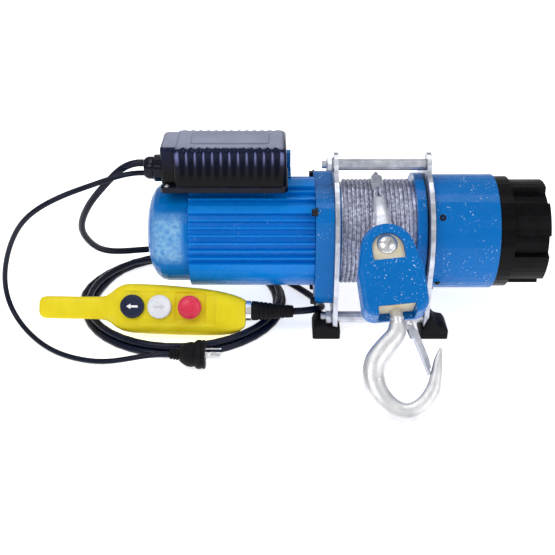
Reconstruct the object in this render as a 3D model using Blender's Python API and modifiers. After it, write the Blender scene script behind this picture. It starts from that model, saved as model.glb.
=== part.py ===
"""Portable electric wire rope hoist, modelled as separate parts.

Frame: metres, +Z up, the drum axis along X with the motor at -X and the gearbox at +X, and the rope
and hook at -Y. The origin is the centre of the footprint on the floor, at Z = 0.

Places on the machine are given as (station, across, up) from the drum: station along the axis from
the drum's mid-plane, across toward +Y and up from the axis.
"""

import math

import bmesh
import bpy
import numpy
from mathutils import Matrix, Vector

# ---------------------------------------------------------------- driving dimensions (metres)
GAP = 0.0003                    # clearance between pieces that touch
CORD_GAP = 0.0009               # clearance at a cord's end, whose cut face may lean a little
OVERRUN = 0.010                 # how far a cutter runs past the face it opens

DRUM_X = 0.1203                 # mid-plane of the drum
AXIS_Y = 0.094                  # drum and motor axis
AXIS_Z = 0.118                  # height of that axis above the floor

PLATE_SPACING = 0.115           # between the inner faces of the side plates
PLATE_THICKNESS = 0.006
PLATE_RADIUS = 0.091
PLATE_BASE_HALF = 0.084
PLATE_CLEARANCE = 0.004         # the steel stops this far above the floor
PLATE_BORE = 0.030
EAR_HEIGHT = 0.096              # top tie rod above the drum axis
EAR_RADIUS = 0.016
LOWER_ROD_ACROSS = 0.072
LOWER_ROD_UP = -0.093
ROD_RADIUS = 0.0075
STUD_RADIUS = 0.005
STUD_END = 0.0155               # stud beyond the left plate
TAB_REACH = 0.024
TAB_INNER = 0.056
TAB_OUTER = 0.0835
TAB_BOTTOM = 0.0043
TAB_TOP = 0.0093
BOOT_HEIGHT = 0.016
BOOT_INNER = 0.048
BOOT_OUTER = 0.088
BOOT_SLOT_END = 0.0852

FLANGE_LENGTH = 0.024
FLANGE_HALF = 0.075
FLANGE_CORNER = 0.030
FLANGE_DROP = 0.008             # its centre below the axis
HOUSING_LENGTH = 0.1646
HOUSING_RADIUS = 0.0735
HOUSING_BORE = 0.0623
FIN_DEPTH = 0.006
FIN_HALF_ANGLE = 0.8            # degrees
COVER_LENGTH = 0.056
COVER_RADIUS = 0.0675
COVER_WALL = 0.005
COVER_DOME = 0.026              # length of its domed end
COVER_FACE_RADIUS = 0.027       # flat middle of the dome
ROTOR_SEAT_RADIUS = 0.009
SHAFT_RADIUS = 0.0055
BEARING_RADIUS = 0.022
REAR_BEARING_RADIUS = 0.020

DRUM_BORE = 0.008
DRUM_CORE_RADIUS = 0.038
LEFT_FLANGE_RADIUS = 0.068
RIGHT_FLANGE_RADIUS = 0.079
HUB_RADIUS = 0.026
GEAR_SEAT_RADIUS = 0.016
WOUND_RADIUS = 0.0705
ROPE_RADIUS = 0.003
THIMBLE_SEAT = 0.0089
LOOP_SLACK = 0.0010             # between the rope's eye and the thimble's seat

GEARBOX_LENGTH = 0.0857
GEARBOX_RADIUS = 0.077
GEARBOX_WALL = 0.006
RING_LENGTH = 0.019
RING_RADIUS = 0.0745
RING_RIM = 0.060
CAP_LENGTH = 0.0467
CAP_RADIUS = 0.070
CAP_RECESS_RADIUS = 0.0615
CAP_BORE = 0.055
CAP_LOBES = 6
CAP_LOBE_ANGLE = 36.0           # degrees
CAP_FIRST_LOBE = 142.0          # degrees from +Y toward +Z

GEAR_MODULE = 0.00125
PRESSURE_ANGLE = math.radians(25)
ADDENDUM = 0.80 * GEAR_MODULE
DEDENDUM = 1.15 * GEAR_MODULE
BACKLASH = 0.00012
PINION_TEETH = 12
WHEEL_TEETH = 44
LAST_PINION_TEETH = 14
DRUM_GEAR_TEETH = 42
GEAR_CENTRES = GEAR_MODULE * (PINION_TEETH + WHEEL_TEETH) / 2
FIRST_MESH = (0.133, 0.125)     # stations of motor pinion and first wheel
SECOND_MESH = (0.117, 0.107)
THIRD_MESH = (0.085, 0.0705)
LAYSHAFT_RADIUS = 0.005
LAYSHAFT_ANGLES = (60.0, 120.0)  # degrees from +Y toward +Z

BOX_LEFT = -0.286
BOX_RIGHT = -0.1233
BOX_FRONT = -0.050
BOX_REAR = 0.0315
BOX_BOTTOM = 0.076
BOX_SPLIT = 0.0977
BOX_TOP = 0.1355
BOX_WALL = 0.003
BOX_WALLS_LEFT = BOX_LEFT + 0.0145  # the walls stand in from the ears at the gland's end
BOX_EAR_WIDTH = 0.0155
BOX_EAR_HEIGHT = 0.008
COVER_INSET = 0.002
GLAND_ACROSS = -0.014
GLAND_UP = 0.097
GLAND_RADIUS = 0.0185
GLAND_LENGTH = 0.0255
GLAND_NUT_RADIUS = 0.0165
GLAND_NUT_LENGTH = 0.0116
BOX_PORT_RADIUS = 0.011
CAPACITOR_RADIUS = 0.017
CABLE_SPREAD = 0.007            # each cable's height from the gland's centre

BLOCK_HALF_THICKNESS = 0.020
BLOCK_SLOT_HALF = 0.011
BLOCK_LENGTH = 0.090            # from the pin to its lower end
BLOCK_CROWN_RADIUS = 0.0335
BLOCK_SHOULDER = 0.040          # half width at its widest
BLOCK_SLOPE = 41.0              # degrees below horizontal
BLOCK_LEAN = 6.0                # degrees to the right
WINDOW_DEPTH = 0.0055
WINDOW_UP = -0.006              # its centre from the pin
PIN_RADIUS = 0.008
PIN_HEAD_RADIUS = 0.0130
SHANK_RADIUS = 0.008
HOOK_FLATNESS = 0.78            # thickness of the forging over its width
LATCH_ACROSS = 0.013
LATCH_UP = -0.101
LATCH_ANGLE = 13.4              # degrees
LATCH_LENGTH = 0.065
LATCH_PIN_RADIUS = 0.0018
PIN_PLACE = Vector((DRUM_X - 0.0025, AXIS_Y - 0.1128, AXIS_Z + 0.0291))

PENDANT_PLACE = Vector((-0.1455, 0.0215, 0.0367))
PENDANT_LEAN = 30.0             # degrees back from upright
PENDANT_ROLL = 1.0              # degrees, right end down
PENDANT_HALF_LENGTH = 0.0865
PENDANT_HALF_HEIGHT = 0.033
PENDANT_HALF_DEPTH = 0.020
PENDANT_CORNER = 0.026
PENDANT_ROUND = 0.012
PENDANT_WALL = 0.0035
GRIP_END = 0.190
GRIP_HALF_HEIGHT = 0.015
GRIP_HALF_DEPTH = 0.007
BUTTON_UP = 0.003
BUTTON_PROUD = 0.005
RELIEF_END = 0.150

CABLE_RADIUS = 0.00475          # control cable
CORD_RADIUS = 0.0035            # power cord
COIL_PLACE = Vector((-0.1480, 0.100, 0.0))
COIL_RADIUS = 0.134
COIL_SECTION = 0.009
PLUG_PLACE = Vector((-0.131, -0.061, 0.0190))
PLUG_RADIUS = 0.0185
PLUG_FACE = 0.023
PLUG_TAIL = -0.022

# stations along the drum axis
PLATE_INNER = PLATE_SPACING / 2
PLATE_OUTER = PLATE_INNER + PLATE_THICKNESS
FLANGE_RIGHT = -(PLATE_OUTER + GAP)
FLANGE_LEFT = FLANGE_RIGHT - FLANGE_LENGTH
HOUSING_RIGHT = FLANGE_LEFT - GAP
HOUSING_LEFT = HOUSING_RIGHT - HOUSING_LENGTH
COVER_RIGHT = HOUSING_LEFT - GAP
COVER_LEFT = COVER_RIGHT - COVER_LENGTH
GEARBOX_LEFT = PLATE_OUTER + GAP
GEARBOX_RIGHT = GEARBOX_LEFT + GEARBOX_LENGTH
GEARBOX_FLOOR = GEARBOX_LEFT + GEARBOX_WALL
RING_LEFT = GEARBOX_RIGHT + GAP
RING_RIGHT = RING_LEFT + RING_LENGTH
RING_FLOOR = RING_LEFT + 0.008
CAP_LEFT = RING_RIGHT + GAP
CAP_RIGHT = CAP_LEFT + CAP_LENGTH
GLAND_LEFT = BOX_WALLS_LEFT - GAP - GLAND_LENGTH
GLAND_NUT_LEFT = GLAND_LEFT - GAP - GLAND_NUT_LENGTH

for old in list(bpy.data.objects):
    bpy.data.objects.remove(old, do_unlink=True)
PARTS = bpy.data.collections.new("electric_wire_rope_hoist")
CUTTERS = bpy.data.collections.new("cutters")
bpy.context.scene.collection.children.link(PARTS)
bpy.context.scene.collection.children.link(CUTTERS)


# ---------------------------------------------------------------- materials
def material(name, colour, roughness, metallic=0.0):
    """A plain Principled material."""
    made = bpy.data.materials.new(name)
    made.use_nodes = True
    shader = made.node_tree.nodes["Principled BSDF"]
    shader.inputs["Base Color"].default_value = (*colour, 1.0)
    shader.inputs["Roughness"].default_value = roughness
    shader.inputs["Metallic"].default_value = metallic
    return made


def make_materials():
    """Every finish on the hoist."""
    return {
        "blue": material("blue_paint", (0.005, 0.120, 0.480), 0.25),
        "black": material("black_plastic", (0.012, 0.012, 0.014), 0.30),
        "rubber": material("black_rubber", (0.020, 0.020, 0.022), 0.65),
        "zinc": material("zinc_plate", (0.62, 0.62, 0.63), 0.32, 1.0),
        "steel": material("bright_steel", (0.55, 0.55, 0.56), 0.25, 1.0),
        "rope": material("galvanised_rope", (0.52, 0.53, 0.56), 0.40, 1.0),
        "copper": material("copper_winding", (0.45, 0.17, 0.07), 0.40, 1.0),
        "iron": material("laminated_iron", (0.18, 0.18, 0.19), 0.50, 1.0),
        "yellow": material("yellow_plastic", (0.800, 0.640, 0.020), 0.35),
        "navy": material("navy_plastic", (0.010, 0.015, 0.050), 0.30),
        "white": material("white_plastic", (0.750, 0.760, 0.800), 0.35),
        "red": material("red_plastic", (0.700, 0.030, 0.050), 0.35),
        "grey": material("grey_plastic", (0.300, 0.310, 0.320), 0.50),
    }


# ---------------------------------------------------------------- placing and cutting
def on_axis(station, across=0.0, up=0.0):
    """World point of a place given from the drum."""
    return Vector((DRUM_X + station, AXIS_Y + across, AXIS_Z + up))


def move_to(thing, collection, parent):
    """Put an object in one collection, under its parent."""
    for holder in list(thing.users_collection):
        holder.objects.unlink(thing)
    collection.objects.link(thing)
    thing.parent = parent


def keep(thing, finish, parent=None):
    """Make an object a part, with its finish."""
    move_to(thing, PARTS, parent)
    thing.data.materials.clear()
    thing.data.materials.append(finish)
    if thing.type == "MESH":
        thing.data.shade_smooth()
        thing.data.set_sharp_from_angle(angle=math.radians(30))
    return thing


def combine(target, operand, operation, parent=None):
    """Cut or join the target with a hidden operand."""
    move_to(operand, CUTTERS, parent)
    operand.hide_render = True
    operand.display_type = "WIRE"
    step = target.modifiers.new(operand.name, "BOOLEAN")
    step.operation = operation
    step.solver = "EXACT"
    step.object = operand


def cut(target, operand, parent=None):
    combine(target, operand, "DIFFERENCE", parent)


def join(target, operand, parent=None):
    combine(target, operand, "UNION", parent)


def round_edges(thing, width, segments, limit=30):
    """Bevel every edge sharper than the limit, in degrees."""
    edge = thing.modifiers.new("rounded_edges", "BEVEL")
    edge.width = width
    edge.segments = segments
    edge.limit_method = "ANGLE"
    edge.angle_limit = math.radians(limit)


def frame_empty(name, place, rotation):
    """An empty that carries the parts of one assembly in their own frame."""
    made = bpy.data.objects.new(name, None)
    PARTS.objects.link(made)
    made.matrix_world = Matrix.Translation(place) @ rotation
    return made


# ---------------------------------------------------------------- shapes
def mesh_object(name, shape):
    """An object from a bmesh, which is freed."""
    mesh = bpy.data.meshes.new(name)
    shape.to_mesh(mesh)
    shape.free()
    return bpy.data.objects.new(name, mesh)


def block(name, low, high):
    """A box between two corners, with its origin at its centre."""
    low, high = Vector(low), Vector(high)
    shape = bmesh.new()
    bmesh.ops.create_cube(shape, size=1.0)
    bmesh.ops.scale(shape, vec=high - low, verts=shape.verts)
    made = mesh_object(name, shape)
    made.location = (low + high) / 2
    return made


def mirrored_block(name, stations, acrosses, ups):
    """A box from the drum's places, with each pair of limits in either order."""
    corners = [sorted(pair) for pair in (stations, acrosses, ups)]
    low, high = zip(*corners)
    return block(name, on_axis(*low), on_axis(*high))


def rod(name, start, end, radius, sides=24):
    """A cylinder between two points."""
    start, end = Vector(start), Vector(end)
    shape = bmesh.new()
    bmesh.ops.create_cone(
        shape, cap_ends=True, segments=sides, radius1=radius, radius2=radius, depth=(end - start).length
    )
    made = mesh_object(name, shape)
    made.rotation_euler = (end - start).to_track_quat("Z", "Y").to_euler()
    made.location = (start + end) / 2
    return made


def turned(name, profile, steps, ring=False):
    """A solid turned about local Z from (radius, height) pairs that run down its outer side."""
    count = len(profile)
    edges = [(i, i + 1) for i in range(count - 1)]
    if ring:
        edges.append((count - 1, 0))
    mesh = bpy.data.meshes.new(name)
    mesh.from_pydata([(radius, 0.0, height) for radius, height in profile], edges, [])
    made = bpy.data.objects.new(name, mesh)
    turn = made.modifiers.new("turn", "SCREW")
    turn.angle = math.tau
    turn.steps = steps
    turn.render_steps = steps
    turn.use_merge_vertices = True
    turn.merge_threshold = 0.00001
    turn.use_smooth_shade = True
    return made


def turned_on_axis(name, profile, steps=48, ring=False):
    """A solid turned about the drum axis from (radius, station) pairs, outer side from +X to -X."""
    made = turned(name, profile, steps, ring)
    made.rotation_euler = (0.0, math.pi / 2, 0.0)
    made.location = on_axis(0.0)
    return made


def bush(name, inner, outer, right, left, steps=20):
    """A plain ring about the drum axis between two stations."""
    profile = [(inner, right), (outer, right), (outer, left), (inner, left)]
    return turned_on_axis(name, profile, steps, ring=True)


def outline_solid(name, outlines, thickness):
    """A flat outline, with any holes, extruded evenly about local Z = 0."""
    curve = bpy.data.curves.new(name, "CURVE")
    curve.dimensions = "2D"
    curve.fill_mode = "BOTH"
    curve.extrude = thickness / 2
    for outline in outlines:
        spline = curve.splines.new("POLY")
        spline.points.add(len(outline) - 1)
        for point, (x, y) in zip(spline.points, outline):
            point.co = (x, y, 0.0, 1.0)
        spline.use_cyclic_u = True
    return bpy.data.objects.new(name, curve)


def axial_solid(name, outlines, right, left):
    """An outline of (across, up) points, extruded along the drum axis between two stations."""
    turned_outlines = [[(-up, across) for across, up in outline] for outline in outlines]
    made = outline_solid(name, turned_outlines, right - left)
    made.rotation_euler = (0.0, math.pi / 2, 0.0)
    made.location = on_axis((right + left) / 2)
    return made


def facing_solid(name, outline, front, back):
    """An outline of local (x, z) points, extruded along local Y between two depths."""
    made = outline_solid(name, [outline], back - front)
    made.rotation_euler = (math.pi / 2, 0.0, 0.0)
    made.location = (0.0, (front + back) / 2, 0.0)
    return made


def to_mesh(thing):
    """Turn a curve object into a welded mesh object of the same name and place."""
    PARTS.objects.link(thing)
    bpy.context.view_layer.update()
    name = thing.name
    place = thing.matrix_world.copy()
    mesh = bpy.data.meshes.new_from_object(thing.evaluated_get(bpy.context.evaluated_depsgraph_get()))
    bpy.data.objects.remove(thing, do_unlink=True)
    shape = bmesh.new()
    shape.from_mesh(mesh)
    bmesh.ops.remove_doubles(shape, verts=shape.verts, dist=0.00001)
    bmesh.ops.dissolve_limit(shape, angle_limit=math.radians(0.5), verts=shape.verts, edges=shape.edges)
    shape.to_mesh(mesh)
    shape.free()
    made = bpy.data.objects.new(name, mesh)
    made.matrix_world = place
    return made


def arc(centre, radius, start, end, count):
    """Points on an arc, both ends included; angles in degrees."""
    points = []
    for i in range(count + 1):
        angle = math.radians(start + (end - start) * i / count)
        points.append((centre[0] + radius * math.cos(angle), centre[1] + radius * math.sin(angle)))
    return points


def circle(radius, count, centre=(0.0, 0.0)):
    """Points round a whole circle."""
    return arc(centre, radius, 0, 360, count)[:-1]


def rounded_rectangle(left, right, bottom, top, radius, count=4):
    """Outline of a rectangle with round corners."""
    return (
        arc((right - radius, bottom + radius), radius, -90, 0, count)
        + arc((right - radius, top - radius), radius, 0, 90, count)
        + arc((left + radius, top - radius), radius, 90, 180, count)
        + arc((left + radius, bottom + radius), radius, 180, 270, count)
    )


def smooth_route(route, spacing):
    """Evenly spaced points on a smooth curve through the route's own points."""
    stops = [Vector(stop) for stop in route]
    stops = [2 * stops[0] - stops[1]] + stops + [2 * stops[-1] - stops[-2]]
    fine = []
    for before, start, end, after in zip(stops, stops[1:], stops[2:], stops[3:]):
        for i in range(20):
            t = i / 20
            straight = 2 * start + (end - before) * t
            bend = (2 * before - 5 * start + 4 * end - after) * t**2
            twist = (3 * start - before - 3 * end + after) * t**3
            fine.append((straight + bend + twist) / 2)
    fine.append(stops[-2])
    travelled = [0.0]
    for here, there in zip(fine, fine[1:]):
        travelled.append(travelled[-1] + (there - here).length)
    count = max(2, round(travelled[-1] / spacing))
    targets = [travelled[-1] * i / count for i in range(count + 1)]
    columns = [numpy.interp(targets, travelled, [point[k] for point in fine]) for k in range(len(stops[0]))]
    return [Vector(point) for point in zip(*columns)]


def tube(name, points, radius, resolution=2, widths=None):
    """A round tube along points; widths scale the radius at each of them."""
    curve = bpy.data.curves.new(name, "CURVE")
    curve.dimensions = "3D"
    curve.bevel_depth = radius
    curve.bevel_resolution = resolution
    curve.use_fill_caps = True
    spline = curve.splines.new("POLY")
    spline.points.add(len(points) - 1)
    for i, place in enumerate(points):
        spline.points[i].co = (*place[:3], 1.0)
        spline.points[i].radius = widths[i] if widths else 1.0
    return bpy.data.objects.new(name, curve)


# ---------------------------------------------------------------- frame
def plate_outline():
    """Round side plate with an ear for the top rod and straight legs to the floor."""
    base = PLATE_CLEARANCE - AXIS_Z
    rear_side = arc((0.0, 0.0), PLATE_RADIUS, -16, 79, 9)
    ear = arc((0.0, EAR_HEIGHT), EAR_RADIUS, -10, 190, 7)
    front_side = arc((0.0, 0.0), PLATE_RADIUS, 101, 196, 9)
    return [(PLATE_BASE_HALF, base)] + rear_side + ear + front_side + [(-PLATE_BASE_HALF, base)]


def rod_places():
    """Where each tie rod passes through the plates, as (across, up)."""
    return {
        "top": (0.0, EAR_HEIGHT),
        "front": (-LOWER_ROD_ACROSS, LOWER_ROD_UP),
        "rear": (LOWER_ROD_ACROSS, LOWER_ROD_UP),
    }


def side_plate(name, side, finish):
    """A steel side plate with its two foot tabs bent outward; side is -1 on the left."""
    holes = [circle(PLATE_BORE, 32)]
    holes += [circle(STUD_RADIUS + GAP, 12, place) for place in rod_places().values()]
    right, left = sorted((side * PLATE_INNER, side * PLATE_OUTER), reverse=True)
    plate = to_mesh(axial_solid(name, [plate_outline()] + holes, right, left))
    stations = (side * (PLATE_INNER + 0.002), side * (PLATE_OUTER + TAB_REACH))
    for end in (-1, 1):
        tab = mirrored_block(
            f"{name}_tab_{end}",
            stations,
            (end * TAB_INNER, end * TAB_OUTER),
            (TAB_BOTTOM - AXIS_Z, TAB_TOP - AXIS_Z),
        )
        join(plate, tab)
    keep(plate, finish)


def foot_boot(name, side, end, finish):
    """A rubber boot over one foot tab and the plate's corner above it."""
    boot = mirrored_block(
        name,
        (side * (PLATE_INNER - 0.004), side * (PLATE_OUTER + TAB_REACH + 0.003)),
        (end * BOOT_INNER, end * BOOT_OUTER),
        (-AXIS_Z, BOOT_HEIGHT - AXIS_Z),
    )
    round_edges(boot, 0.002, 1)
    plate_slot = mirrored_block(
        f"{name}_plate_slot",
        (side * (PLATE_INNER - GAP), side * (PLATE_OUTER + GAP)),
        (end * (BOOT_INNER - OVERRUN), end * BOOT_SLOT_END),
        (PLATE_CLEARANCE - GAP - AXIS_Z, BOOT_HEIGHT + OVERRUN - AXIS_Z),
    )
    tab_pocket = mirrored_block(
        f"{name}_tab_pocket",
        (side * (PLATE_INNER + 0.002), side * (PLATE_OUTER + TAB_REACH + GAP)),
        (end * (TAB_INNER - GAP), end * (TAB_OUTER + GAP)),
        (TAB_BOTTOM - GAP - AXIS_Z, TAB_TOP + GAP - AXIS_Z),
    )
    cut(boot, plate_slot)
    cut(boot, tab_pocket)
    keep(boot, finish)


def tie_rod(name, place, finish):
    """A shouldered rod between the plates, with a stud through each."""
    shoulder = PLATE_INNER - GAP
    profile = [
        (0.0, PLATE_OUTER),
        (STUD_RADIUS, PLATE_OUTER),
        (STUD_RADIUS, shoulder),
        (ROD_RADIUS, shoulder),
        (ROD_RADIUS, -shoulder),
        (STUD_RADIUS, -shoulder),
        (STUD_RADIUS, -PLATE_OUTER - STUD_END),
        (0.0, -PLATE_OUTER - STUD_END),
    ]
    made = turned_on_axis(name, profile, 12)
    made.location = on_axis(0.0, *place)
    keep(made, finish)


def build_frame(finish):
    for side, side_name in ((-1, "left"), (1, "right")):
        side_plate(f"{side_name}_side_plate", side, finish["zinc"])
        for end, end_name in ((-1, "front"), (1, "rear")):
            foot_boot(f"{side_name}_{end_name}_foot", side, end, finish["rubber"])
    for rod_name, place in rod_places().items():
        tie_rod(f"{rod_name}_tie_rod", place, finish["zinc"])


# ---------------------------------------------------------------- motor
def motor_flange(finish):
    """Cast flange between the motor and the left plate, with the drive end bearing's seat."""
    low, high = -FLANGE_HALF - FLANGE_DROP, FLANGE_HALF - FLANGE_DROP
    outline = rounded_rectangle(-FLANGE_HALF, FLANGE_HALF, low, high, FLANGE_CORNER, 5)
    flange = to_mesh(axial_solid("motor_flange", [outline, circle(0.012, 24)], FLANGE_RIGHT, FLANGE_LEFT))
    seat = rod("bearing_seat", on_axis(FLANGE_LEFT - OVERRUN), on_axis(-0.0705), BEARING_RADIUS + GAP, 32)
    cut(flange, seat)
    keep(flange, finish)


def fin_groups():
    """Directions of the fins in each group, in degrees from +Y toward +Z."""
    front = [180 - angle for angle in range(44, -13, -8)]
    front_upper = [101, 110, 120, 129]
    mirrored = [[180 - angle for angle in reversed(group)] for group in (front_upper, front)]
    bottom = list(range(242, 299, 8))
    return [mirrored[0], front_upper, front, bottom, [angle + 360 for angle in mirrored[1]]]


def housing_outline():
    """Round housing with grooves between the fins of each group."""
    points = []
    groups = fin_groups()
    for group, following in zip(groups, groups[1:] + [[groups[0][0] + 360]]):
        for fin, after in zip(group, group[1:]):
            points += arc((0.0, 0.0), HOUSING_RADIUS, fin - FIN_HALF_ANGLE, fin + FIN_HALF_ANGLE, 1)
            groove_start, groove_end = fin + 1.5 * FIN_HALF_ANGLE, after - 1.5 * FIN_HALF_ANGLE
            points += arc((0.0, 0.0), HOUSING_RADIUS - FIN_DEPTH, groove_start, groove_end, 1)
        plain = following[0] - group[-1]
        points += arc(
            (0.0, 0.0),
            HOUSING_RADIUS,
            group[-1] - FIN_HALF_ANGLE,
            following[0] - 2 * FIN_HALF_ANGLE,
            max(2, round(plain / 7)),
        )
    return points


def motor_end_cover(finish):
    """Domed cover with a boss inside for the rear bearing."""
    inner_wall = COVER_LEFT + COVER_WALL
    boss = REAR_BEARING_RADIUS + GAP
    boss_end = COVER_LEFT + 0.034
    bore = COVER_RADIUS - COVER_WALL
    inside = [
        (0.0, inner_wall),
        (boss, inner_wall),
        (boss, boss_end),
        (boss + 0.0045, boss_end),
        (boss + 0.0045, inner_wall),
        ((boss + bore) / 2, inner_wall + 0.001),
        (bore, COVER_LEFT + COVER_DOME),
        (bore, COVER_RIGHT),
    ]
    swell = COVER_RADIUS - COVER_FACE_RADIUS
    outside = [(COVER_RADIUS, COVER_RIGHT)]
    for angle in range(0, 91, 18):
        turn = math.radians(angle)
        radius = COVER_FACE_RADIUS + swell * math.cos(turn)
        outside.append((radius, COVER_LEFT + COVER_DOME * (1 - math.sin(turn))))
    outside.append((0.0, COVER_LEFT))
    keep(turned_on_axis("motor_end_cover", inside + outside, 32), finish)


def motor_shaft(finish):
    """Shaft from the motor through the drum to the brake, with its pinion cut on it."""
    profile = [
        (0.0, CAP_LEFT + 0.0227),
        (SHAFT_RADIUS, CAP_LEFT + 0.0227),
        (SHAFT_RADIUS, -0.066),
        (ROTOR_SEAT_RADIUS, -0.066),
        (ROTOR_SEAT_RADIUS, COVER_LEFT + 0.017),
        (0.0, COVER_LEFT + 0.017),
    ]
    shaft = turned_on_axis("motor_shaft", profile, 24)
    join(shaft, gear("motor_pinion", PINION_TEETH, 0.0, (0.0, 0.0), FIRST_MESH))
    keep(shaft, finish)


def motor_pedestal(finish):
    """Casting under the control box, with an upstand behind the box's right end."""
    saddle_top = BOX_BOTTOM - GAP
    saddle = block("motor_pedestal", on_axis(-0.270, -0.025, 0.055), on_axis(-0.130, 0.025, saddle_top))
    shelf = block("pedestal_shelf", on_axis(-0.165, 0.010, 0.052), on_axis(-0.119, 0.045, saddle_top - 0.001))
    upstand = block("pedestal_upstand", on_axis(-0.137, 0.0325, 0.060), on_axis(-0.1195, 0.0445, 0.100))
    relief = rod("housing_relief", on_axis(-0.300), on_axis(-0.100), HOUSING_RADIUS + 2 * GAP, 64)
    join(saddle, shelf)
    join(saddle, upstand)
    cut(saddle, relief)
    keep(saddle, finish)


def build_motor(finish):
    motor_flange(finish["blue"])
    bore = circle(HOUSING_BORE, 48)
    housing = axial_solid("motor_housing", [housing_outline(), bore], HOUSING_RIGHT, HOUSING_LEFT)
    keep(to_mesh(housing), finish["blue"])
    motor_end_cover(finish["blue"])
    motor_pedestal(finish["blue"])
    motor_shaft(finish["steel"])
    seat = ROTOR_SEAT_RADIUS + GAP
    keep(bush("motor_stator", 0.038, HOUSING_BORE - GAP, -0.127, -0.227, 32), finish["copper"])
    keep(bush("rotor_core", seat, 0.036, -0.132, -0.222, 24), finish["iron"])
    keep(bush("drive_end_bearing", seat, BEARING_RADIUS, -0.071, -0.081), finish["steel"])
    keep(bush("rear_bearing", seat, REAR_BEARING_RADIUS, -0.278, -0.290), finish["steel"])


# ---------------------------------------------------------------- control box
def box_half(name, inset, bottom, top, hollow_bottom, hollow_top):
    """The walls of one half of the control box, with the space and the gland's port to cut from it."""
    half = block(
        name,
        on_axis(BOX_WALLS_LEFT + inset, BOX_FRONT + inset, bottom),
        on_axis(BOX_RIGHT - inset, BOX_REAR - inset, top),
    )
    wall = inset + BOX_WALL
    hollow = block(
        f"{name}_hollow",
        on_axis(BOX_WALLS_LEFT + wall, BOX_FRONT + wall, hollow_bottom),
        on_axis(BOX_RIGHT - wall, BOX_REAR - wall, hollow_top),
    )
    port = rod(
        f"{name}_port",
        on_axis(BOX_WALLS_LEFT - OVERRUN, GLAND_ACROSS, GLAND_UP),
        on_axis(BOX_WALLS_LEFT + OVERRUN, GLAND_ACROSS, GLAND_UP),
        BOX_PORT_RADIUS,
        16,
    )
    return half, hollow, port


def box_base(finish):
    """Lower half of the box, with an ear either side of the gland for its screws."""
    floor = BOX_BOTTOM + BOX_WALL
    base, hollow, port = box_half("control_box_base", 0.0, BOX_BOTTOM, BOX_SPLIT, floor, BOX_SPLIT + OVERRUN)
    ear_top = BOX_BOTTOM + BOX_EAR_HEIGHT
    for side, across in (("front", BOX_FRONT), ("rear", BOX_REAR - BOX_EAR_WIDTH)):
        ear = block(
            f"box_ear_{side}",
            on_axis(BOX_LEFT, across, BOX_BOTTOM),
            on_axis(BOX_WALLS_LEFT + BOX_WALL / 2, across + BOX_EAR_WIDTH, ear_top),
        )
        join(base, ear)
    cut(base, hollow)
    cut(base, port)
    keep(base, finish)


def box_cover(finish):
    """Upper half of the box, standing in a little from the lower one."""
    split = BOX_SPLIT + GAP
    ceiling = BOX_TOP - BOX_WALL
    cover, hollow, port = box_half("control_box_cover", COVER_INSET, split, BOX_TOP, split - OVERRUN, ceiling)
    cut(cover, hollow)
    cut(cover, port)
    keep(cover, finish)


def build_control_box(finish):
    box_base(finish["black"])
    box_cover(finish["black"])
    gland = rod(
        "cable_gland",
        on_axis(BOX_WALLS_LEFT - GAP, GLAND_ACROSS, GLAND_UP),
        on_axis(GLAND_LEFT, GLAND_ACROSS, GLAND_UP),
        GLAND_RADIUS,
        8,
    )
    nut = rod(
        "gland_nut",
        on_axis(GLAND_LEFT - GAP, GLAND_ACROSS, GLAND_UP),
        on_axis(GLAND_NUT_LEFT, GLAND_ACROSS, GLAND_UP),
        GLAND_NUT_RADIUS,
        12,
    )
    keep(gland, finish["black"])
    keep(nut, finish["black"])
    floor = BOX_BOTTOM + BOX_WALL + GAP
    middle = (BOX_FRONT + BOX_REAR) / 2
    start = on_axis(BOX_WALLS_LEFT + 0.0095, middle, floor + CAPACITOR_RADIUS)
    capacitor = rod("run_capacitor", start, start + Vector((0.070, 0.0, 0.0)), CAPACITOR_RADIUS)
    keep(capacitor, finish["white"])
    low, high = on_axis(-0.182, middle - 0.022, floor), on_axis(-0.138, middle + 0.022, floor + 0.044)
    contactor = block("contactor", low, high)
    keep(contactor, finish["grey"])


# ---------------------------------------------------------------- drum and rope
def rope_drum(finish):
    """Flanged drum with a hub in each side plate and a seat for its gear."""
    profile = [
        (DRUM_BORE, 0.086),
        (GEAR_SEAT_RADIUS, 0.086),
        (GEAR_SEAT_RADIUS, 0.070),
        (HUB_RADIUS, 0.070),
        (HUB_RADIUS, 0.055),
        (RIGHT_FLANGE_RADIUS, 0.055),
        (RIGHT_FLANGE_RADIUS, 0.043),
        (DRUM_CORE_RADIUS, 0.043),
        (DRUM_CORE_RADIUS, -0.054),
        (LEFT_FLANGE_RADIUS, -0.054),
        (LEFT_FLANGE_RADIUS, -0.057),
        (HUB_RADIUS, -0.057),
        (HUB_RADIUS, -0.0633),
        (DRUM_BORE, -0.0633),
    ]
    keep(turned_on_axis("rope_drum", profile, 32, ring=True), finish)


def around_drum(radius, angle, station):
    """World point on a circle about the axis; angle in degrees up from the front."""
    turn = math.radians(angle)
    return on_axis(station, -radius * math.cos(turn), radius * math.sin(turn))


def ferrule_end(along):
    """World point on the ferrule's centre line, from its middle toward the hook."""
    heading = Vector((0.0, -0.98, -0.19)).normalized()
    return on_axis(-0.0067, -0.01475, 0.0759) + heading * along


def rope_lead(finish):
    """The rope's last part-turn, rising off the drum to the back of the ferrule."""
    radius = WOUND_RADIUS + ROPE_RADIUS + 2 * GAP
    route = [around_drum(radius, angle, -0.0067) for angle in (165, 150, 135, 120, 108)]
    route += [ferrule_end(-0.022), ferrule_end(-0.014 - CORD_GAP)]
    keep(tube("rope_lead", smooth_route(route, 0.006), ROPE_RADIUS), finish)


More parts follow.
